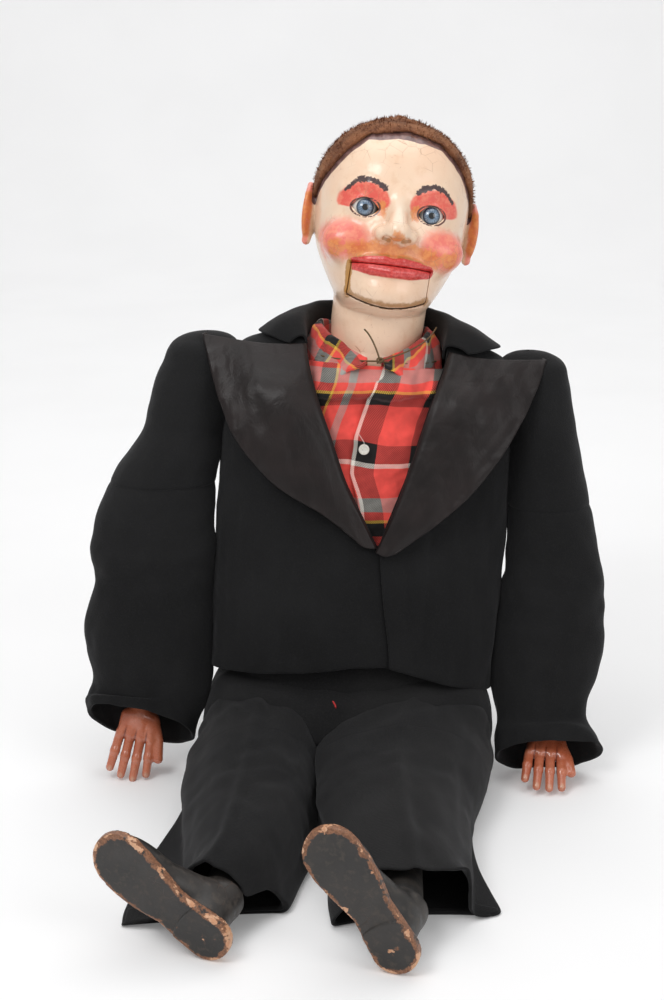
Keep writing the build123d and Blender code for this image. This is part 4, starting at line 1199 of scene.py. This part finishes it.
# ---------------------------------------------------------------- sleeves
# z, outer x, inner x, middle y and depth of each ring, in the seat frame, from the shoulder to the cuff.
SLEEVE = {
    "right": [(462, -149, -147, 6, 2), (460, -163, -133, 6, 11), (456, -176, -122, 5, 19),
    (449, -186, -116, 2, 26), (432, -194, -116, 0, 31), (412, -203, -118, -5, 34), (388, -209, -124, -10, 36),
              (363, -215, -132, -15, 37), (342, -229, -133, -22, 38), (321, -245, -139, -28, 38),
              (297, -256, -141, -36, 38),
              (274, -265, -142, -42, 37), (243, -271, -141, -50, 37), (222, -269, -142, -53, 36),
              (202, -268, -143, -56, 35), (162, -278, -145, -64, 35),
              (132, -277, -146, -70, 34), (109, -272, -146, -74, 32), (85, -276, -152, -80, 30),
              (68, -278, -163, -84, 28), (55, -276, -166, -87, 26)],
    "left": [(441, 191, 189, 5, 2), (439, 207, 175, 5, 11), (434, 219, 165, 4, 20), (427, 228, 160, 2, 26),
    (412, 232, 158, 0, 31), (388, 236, 160, -7, 34),
             (361, 240, 168, -15, 37), (330, 246, 168, -22, 38), (295, 253, 168, -30, 38),
             (265, 259, 169, -37, 38),
             (232, 266, 170, -45, 37), (208, 270, 166, -50, 37), (184, 271, 161, -54, 36),
             (160, 271, 156, -58, 35), (134, 271, 151, -62, 34),
             (101, 264, 152, -68, 33), (67, 253, 160, -78, 30), (45, 259, 158, -92, 24),
             (27, 271, 157, -103, 18)]}
SPLIT = {"right": 312, "left": 290}
CUFF_TILT = {"right": (1.12, -0.24), "left": (1.30, 0.06)}


def sleeve_rings(side):
    """Points (rings, round, 3) of the whole sleeve, with its folds."""
    s = SIDE[side]
    table = spline(SLEEVE[side], 96)
    z, outer, inner, y, depth = table.T
    a = np.linspace(0, 2 * math.pi, 72, endpoint=False)
    middle, half = (outer + inner) / 2, np.abs(outer - inner) / 2
    power = 0.92
    cx = np.sign(np.cos(a)) * np.abs(np.cos(a)) ** power
    cy = np.sign(np.sin(a)) * np.abs(np.sin(a)) ** power
    p = np.stack([middle[:, None] + half[:, None] * cx, y[:, None] + depth[:, None] * cy,
            np.repeat(z[:, None], 72, 1)], -1)
    out = np.stack([cx, cy, 0 * cx], -1)
    out /= np.linalg.norm(out, axis=-1)[:, None]
    elbow = np.exp(-((z - (235 if side == "right" else 205)) / 45) ** 2)[:, None]
    lower = ease(z, 330, 260)[:, None]
    folds = 1.3 * wobble(p * (0.8, 0.8, 1.0), 70, 70 + s) * lower + 1.5 * elbow * wobble(p * (0.45, 1, 1.6), 52,
            72 + s)
    folds += 1.5 * wobble(p * (1, 1, 0.25), 44, 74 + s) * ease(z, 250, 120)[:, None] + 0.5 * wobble(p, 24, 76
            + s, 2)
    p += out[None] * folds[..., None]
    end = ease(z, z[-1] + 45, z[-1])[:, None]
    forward, across = CUFF_TILT[side]
    p[..., 2] += end * ((p[..., 0] - middle[:, None]) * across - (p[..., 1] - y[:, None]) * forward)
    p[..., 2] = np.maximum(p[..., 2], 1.6)
    return p, z


def sleeve(side):
    p, z = sleeve_rings(side)
    centres = p.mean(1, keepdims=True)
    outward = (p - centres) / np.linalg.norm(p - centres, axis=-1, keepdims=True)
    seam = SPLIT[side]
    top = (p - outward * 0.9 * ease(-z, -seam - 2, 6 - seam)[:, None, None])[z >= seam - 6]
    low = (p - outward * 1.7 * ease(z, seam - 12, seam)[:, None, None])[z <= seam + 4]
    upper = sheet_mesh(f"sleeve_upper_{side}", top, WOOL, True, 2.2)
    apply_modifiers(upper)
    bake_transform(upper)
    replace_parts(upper, f"upper_sleeve_{side}")
    inner = low[-1:] + (low[-1:].mean(1, keepdims=True) - low[-1:]) * 0.03 + np.array([0, 0, 2.0])
    lining = low[-14:][::-1]
    centre = lining.mean(1, keepdims=True)
    lining = centre + (lining - centre) * 0.955
    low = np.concatenate([low, inner, lining[1:]])
    lower = sheet_mesh(f"sleeve_lower_{side}", low, WOOL, True, 2.0)
    apply_modifiers(lower)
    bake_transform(lower)
    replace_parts(lower, f"lower_sleeve_{side}")


for side in SIDE:
    sleeve(side)


# ---------------------------------------------------------------- trousers
# Rings from the lap to the hem: nine points (x, y, z) each, from the inside on the floor over the crest to the
# outside.
LEG = {
    "right": [[(-4, 1), (-4, 30), (-8, 70), (-35, 98), (-80, 106), (-130, 98), (-152, 50), (-148, 1), (-75, 1),
    -70],
              [(-14, 1), (-20, 30), (-24, 64), (-44, 92), (-84, 101), (-130, 94), (-157, 52), (-152, 1),
              (-78, 1), -110],
              [(-20, 1), (-26, 30), (-33, 60), (-50, 84), (-84, 95), (-128, 90), (-162, 54), (-158, 1),
              (-84, 1), -150],
              [(-28, 1), (-32, 28), (-38, 56), (-54, 78), (-84, 90), (-128, 84), (-165, 50), (-168, 1),
              (-96, 1), -200],
              [(-34, 1), (-36, 28), (-41, 54), (-56, 76), (-84, 86), (-126, 79), (-162, 48), (-182, 1),
              (-106, 1), -250],
              [(-40, 1), (-42, 28), (-49, 52), (-62, 72), (-88, 81), (-126, 75), (-157, 46), (-195, 1),
              (-114, 1), -300],
              [(-52, 1), (-52, 26), (-59, 48), (-70, 68), (-94, 78), (-124, 73), (-152, 43), (-203, 1),
              (-128, 1), -350],
              [(-62, 1), (-64, 24), (-74, 46), (-84, 62), (-104, 73), (-128, 70), (-150, 38), (-209, 1),
              (-140, 1), -395]],
    "left": [[(4, 1), (4, 30), (4, 70), (30, 98), (80, 104), (128, 95), (150, 50), (146, 1), (75, 1), -70],
             [(-4, 1), (-10, 30), (-14, 64), (16, 90), (76, 100), (126, 92), (149, 52), (142, 1), (75, 1),
             -110],
             [(-16, 1), (-24, 30), (-31, 60), (2, 84), (62, 96), (114, 88), (144, 50), (130, 1), (70, 1), -150],
             [(-22, 1), (-28, 30), (-33, 58), (-8, 80), (50, 92), (104, 82), (134, 48), (114, 1), (50, 1),
             -200],
             [(-24, 1), (-28, 30), (-30, 58), (-6, 80), (44, 90), (96, 76), (121, 44), (114, 1), (48, 1), -250],
             [(-18, 1), (-20, 30), (-21, 54), (0, 75), (44, 84), (88, 72), (113, 40), (120, 1), (50, 1), -310],
             [(-16, 1), (-16, 28), (-15, 52), (4, 71), (46, 79), (86, 68), (112, 38), (130, 1), (56, 1), -360],
             [(-15, 1), (-14, 26), (-10, 46), (10, 66), (50, 74), (88, 66), (110, 36), (137, 1), (58, 1),
             -395]]}
HEM = {"right": [(-66, -388, 1), (-72, -405, 30), (-93, -428, 36), (-98, -430, 48), (-118, -430, 67),
        (-145, -426, 63), (-172, -424, 24), (-208, -420, 1), (-140, -408, 1)],
       "left": [(-14, -421, 1), (-4, -427, 26), (6, -430, 50), (20, -430, 64), (56, -435, 65), (90, -428, 62),
       (108, -420, 56), (128, -402, 1), (60, -400, 1)]}
LEG_SPLIT = -182


def leg_rings(side):
    s = SIDE[side]
    rings = [[(x, row[-1], z) for x, z in row[:-1]] for row in LEG[side]] + [HEM[side]]
    for ring in rings:
        (x, y, _), (floor_x, floor_y, _) = ring[6], ring[7]
        ring.insert(7, (x + 0.12 * (floor_x - x) + s * 1.5, (y + floor_y) / 2, 9))
    knots = spline(np.array(rings), 84)
    p = np.stack([spline(ring, 88, True) for ring in knots])
    p[..., 2] = np.maximum(p[..., 2], 1.2)
    centre = p.mean(1, keepdims=True)
    out = p - centre
    out[..., 1] = 0
    out /= np.linalg.norm(out, axis=-1)[..., None]
    lifted = ease(p[..., 2], 3, 16)
    crease = 4.0 * np.exp(-((p[..., 0] - centre[..., 0] - s * 2) / 5.0) ** 2) * ease(p[..., 2], 50, 66)
    folds = 1.5 * wobble(p * (1, 0.35, 1), 58, 80 + s) + 0.5 * wobble(p * (1.2, 0.6, 1), 30, 82 + s)
    hip = 3.2 * wobble(p * (1.2, 0.9, 0.6), 40, 84 + s) * ease(p[..., 1], -190, -120)
    knee = 1.4 * wobble(p * (0.6, 1.2, 1), 40, 86 + s) * np.exp(-((p[..., 1] + 266) / 40) ** 2)
    p += out * ((folds + hip + knee + crease) * lifted)[..., None]
    p[..., 2] = np.maximum(p[..., 2], 1.2)
    return p


def leg(side):
    p = leg_rings(side)
    y = p[..., 1].mean(1)
    upper_rings, lower_rings = p[y >= LEG_SPLIT - 4], p[y <= LEG_SPLIT + 3]
    upper = sheet_mesh(f"trouser_thigh_{side}", upper_rings, TROUSER_WOOL, True, 1.8)
    apply_modifiers(upper)
    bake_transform(upper)
    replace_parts(upper, f"thigh_cloth_{side}")
    lining = lower_rings[-12:][::-1]
    centre = lining.mean(1, keepdims=True)
    lining = centre + (lining - centre) * np.array([0.965, 1.0, 0.93])
    lining[..., 2] = np.maximum(lining[..., 2], 3.4)
    lower_rings = np.concatenate([lower_rings, lower_rings[-1:] * 0.5 + lining[:1] * 0.5
            + np.array([0, -1.0, 0]), lining[1:]])
    lower = sheet_mesh(f"trouser_shin_{side}", lower_rings, TROUSER_WOOL, True, 1.6)
    apply_modifiers(lower)
    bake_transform(lower)
    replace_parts(lower, f"shin_cloth_{side}")


for side in SIDE:
    leg(side)


def lap():
    """Seat and lap of the trousers, flat below, up to the waist under the jacket."""
    stations = [(47, 40, 40, 16), (45, 84, 74, 2), (30, 122, 90, 1), (0, 142, 104, 1), (-40, 149, 114, 1),
            (-78, 149, 118, 1), (-105, 145, 113, 1),
                (-128, 124, 101, 6), (-146, 84, 84, 14), (-158, 36, 62, 26)]
    rows = []
    for y, half, top, low in stations:
        mid = (top + low) / 2
        rows.append([(0, y, low), (half * 0.7, y, low), (half, y, low + (mid - low) * 0.5),
                (half, y, mid + (top - mid) * 0.35), (half * 0.78, y, top * 0.985), (0, y, top),
                     (-half * 0.78, y, top * 0.985), (-half, y, mid + (top - mid) * 0.35),
                     (-half, y, low + (mid - low) * 0.5), (-half * 0.7, y, low)])
    knots = spline(np.array(rows, float), 46)
    p = np.stack([spline(ring, 72, True) for ring in knots])
    p[..., 2] = np.maximum(p[..., 2], 1.2)
    lifted = ease(p[..., 2], 4, 20)
    p[..., 2] += (2.8 * wobble(p * (0.7, 1.2, 0.6), 48, 90) + 1.2 * wobble(p, 22, 91)) * lifted
    p[..., 2] -= 3.5 * np.exp(-(p[..., 0] / 3.0) ** 2) * ease(p[..., 2], 60, 80) * ease(p[..., 1], -60, -90)
    piece = sheet_mesh("trouser_seat", p, TROUSER_WOOL, True, 1.8)
    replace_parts(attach(piece, "torso"), "trousers_seat")
    h = np.linspace(26, 78, 14)
    turn = np.linspace(0, 360, 96, endpoint=False)
    band = round_body(WAIST, np.broadcast_to(turn[None], (14, 96)), h[:, None])
    band += 0.9 * wobble(band, 40, 93)[..., None] * (0.7, 0.7, 0)
    waist = sheet_mesh("trouser_waist", TORSO(band), TROUSER_WOOL, True, 2.4)
    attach(waist, "torso")


lap()
line("red_thread_tick", [(-16, -142, 104), (-14, -146, 103), (-13, -151, 101)], 0.9, RED_THREAD, "torso",
        "string", True)
line("white_thread_loop", [(-147, -92, 84), (-141, -97, 86), (-134, -99, 88), (-131, -98, 86), (-136, -97, 83),
        (-144, -93, 80), (-148, -90, 80)], 0.55,
     WHITE_THREAD, "torso", "string", True)


# ---------------------------------------------------------------- hands
FINGERTIPS = {"right": (-236, -110, 4), "left": (203, -147, 9)}
FINGER_LENGTHS = {"right": (34, 39, 40, 33), "left": (30, 38, 38, 35)}


THUMB_SIDE = 1  # both thumbs lie towards the figure's left


def hand(side):
    """Carved and painted hand: flat palm, four straight fingers close together and a thumb."""
    s = -THUMB_SIDE
    wrist = joint_at(f"wrist_{side}")
    way = np.array(FINGERTIPS[side]) - wrist
    way = way / np.linalg.norm(way)
    across = -np.array(JOINTS[f"wrist_{side}"]["axis"])
    at = Frame(wrist, across - way * (across @ way), way)
    lines = []
    for i, length in enumerate(FINGER_LENGTHS[side]):
        x, lean = s * (16.5 - 11 * i), math.radians(s * (4 - 3.0 * i))
        root, step = np.array([x, 0.0, 40.0]), np.array([math.sin(lean), 0, math.cos(lean)])
        lines.append((root, root + step * (length * 0.5 + 4) + (0, 0.8, 0), root + step * (length + 5.5)
                + (0, -1.0, 0)))

    def field(p):
        f = block(p, (0, -0.5, 30), (20.5, 7.2, 16), 7)
        f = join(f, limb(p, (0, 0, -6), (0, 0, 20), 9.5, 12), 8)
        for root, knuckle, tip in lines:
            finger = np.minimum(limb(p, root, knuckle, 5.3, 5.0), limb(p, knuckle, tip, 5.0, 4.3))
            finger = join(finger, ball(p, knuckle + (0, 1.0, 0), (5.1, 4.6, 5.5)), 2)
            f = join(f, finger, 0.9)
            f = join(f, limb(p, root * (0.55, 0, 0) + (0, 4.6, 18), root + (0, 3.6, 2), 2.2, 3.2), 4)
        base, mid, end = (-s * 14, -3, 22), (-s * 24, -2, 42), (-s * 29, 0, 60)
        thumb = np.minimum(limb(p, base, mid, 7.4, 6.2), limb(p, mid, end, 6.2, 5.0))
        f = join(f, thumb, 4)
        return np.maximum(f, -block(p, (0, 0, -14), (4.5, 12, 18)))

    piece, v = carved(f"hand_{side}_carved", field, (-36, -14, -16), (36, 14, 96), 0.9, at, FLESH, 2)
    groove, nail = np.zeros(len(v)), np.zeros(len(v))
    for (root, knuckle, tip), (other_root, _, other_tip) in zip(lines, lines[1:]):
        a, b = (root + other_root) / 2 + (0, 0, -14), (tip + other_tip) / 2
        t = np.clip(((v - a) @ (b - a)) / ((b - a) @ (b - a)), 0, 1)
        off = v - a - t[:, None] * (b - a)
        groove = np.maximum(groove, np.clip(1 - np.abs(off[:, 0]) / 2.0, 0, 1) * ease(t, 0.0, 0.25))
    for _, _, tip in lines:
        spot = (v - (tip + (0, 2.6, 0.0))) / (2.9, 3.0, 4.2)
        nail = np.maximum(nail, np.clip(2.2 - 2.2 * np.linalg.norm(spot, axis=1), 0, 1) * (v[:, 1] > 0.8))
    put(piece, "groove", groove)
    put(piece, "nail", nail)
    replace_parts(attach(piece, f"hand_{side}"), f"hand_{side}")


for side in SIDE:
    hand(side)


# ---------------------------------------------------------------- shoes
HEELS = {"right": (-112, -487, 0), "left": (48, -508, 0)}
TOE_WAYS = {"right": (-77, 22, 60), "left": (-55, 11, 84)}
ANKLE_WAYS = {"right": (33, 93, 10), "left": (28, 95, 10)}


def shoe(side):
    """Moulded shoe: sole to the viewer, raised heel, rounded toe, worn rims."""
    toe = np.array(TOE_WAYS[side], float)
    toe /= np.linalg.norm(toe)
    inward = np.array(ANKLE_WAYS[side], float)
    inward = inward - toe * (toe @ inward)
    at = Frame(HEELS[side], toe, inward)

    def outline(p, less=0.0):
        x = np.clip(p[..., 0], 21, 121)
        bend = 2.5 * np.sin((x - 21) / 100 * math.pi)
        r = np.interp(x, (21, 40, 62, 88, 108, 121), (21.5, 20.5, 18.8, 25, 27.8, 27.5)).astype(np.float32)
        return np.hypot(p[..., 0] - x, p[..., 1] - bend * SIDE[side]) - r + less

    def field(p):
        x, y, z = np.moveaxis(p, -1, 0)
        curl = np.clip((x - 95) / 55, 0, 1) ** 2 * 5
        sole = np.maximum(outline(p), np.abs(z - curl - 6.2) - 3.4) - 0.8
        breast = 49 - 0.010 * y * y
        heel = np.maximum(np.maximum(outline(p, 0.4), np.abs(z - 4.6) - 4.0), x - breast) - 0.7
        upper = join(ball(p, (110, 0, 15), (33, 24, 19)), limb(p, (98, 0, 18), (48, 0, 36), 17, 19), 12)
        upper = join(upper, limb(p, (30, 0, 14), (31, 0, 50), 19.5, 20.5), 12)
        upper = np.maximum(upper, 6 - z)
        f = join(np.minimum(sole, heel), upper, 2.2)
        collar = limb(p, (31, 0, 53), (31, 0, 57), 21.5, 21.5)
        f = join(f, np.maximum(collar, z - 58), 3)
        return np.maximum(f, -limb(p, (31, 0, 50), (31, 0, 90), 17.5, 18))

    piece, v = carved(f"shoe_{side}_moulded", field, (-4, -32, -3), (156, 32, 62), 1.2, at, SHOE)
    edge = np.clip(1.1 - np.abs(outline(v)) / 7.5, 0, 1) * ease(v[:, 2], 18, 10)
    ends = ease(v[:, 0], 126, 150) * ease(v[:, 2], 24, 10) + ease(v[:, 0], 20, 0) * ease(v[:, 2], 24, 8)
    breast_edge = np.clip(1 - np.abs(v[:, 0] - 48 + 0.010 * v[:, 1] ** 2) / 3.2, 0, 1) * (v[:, 2] < 5)
    heel_patch = np.clip(1 - np.hypot(v[:, 0] - 22, v[:, 1]) / 26, 0, 1) * ease(v[:, 2], 6, 2) * 0.6
    put(piece, "rim", np.clip(np.maximum(edge * 0.78 + ends * 0.25, np.maximum(breast_edge * 0.6, heel_patch)),
            0, 1))
    low = min((piece.matrix_world @ q.co).z for q in piece.data.vertices)
    piece.data.transform(Matrix.Translation((0, 0, 0.0004 - low)))
    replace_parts(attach(piece, f"lower_leg_{side}"), f"shoe_{side}")


for side in SIDE:
    shoe(side)
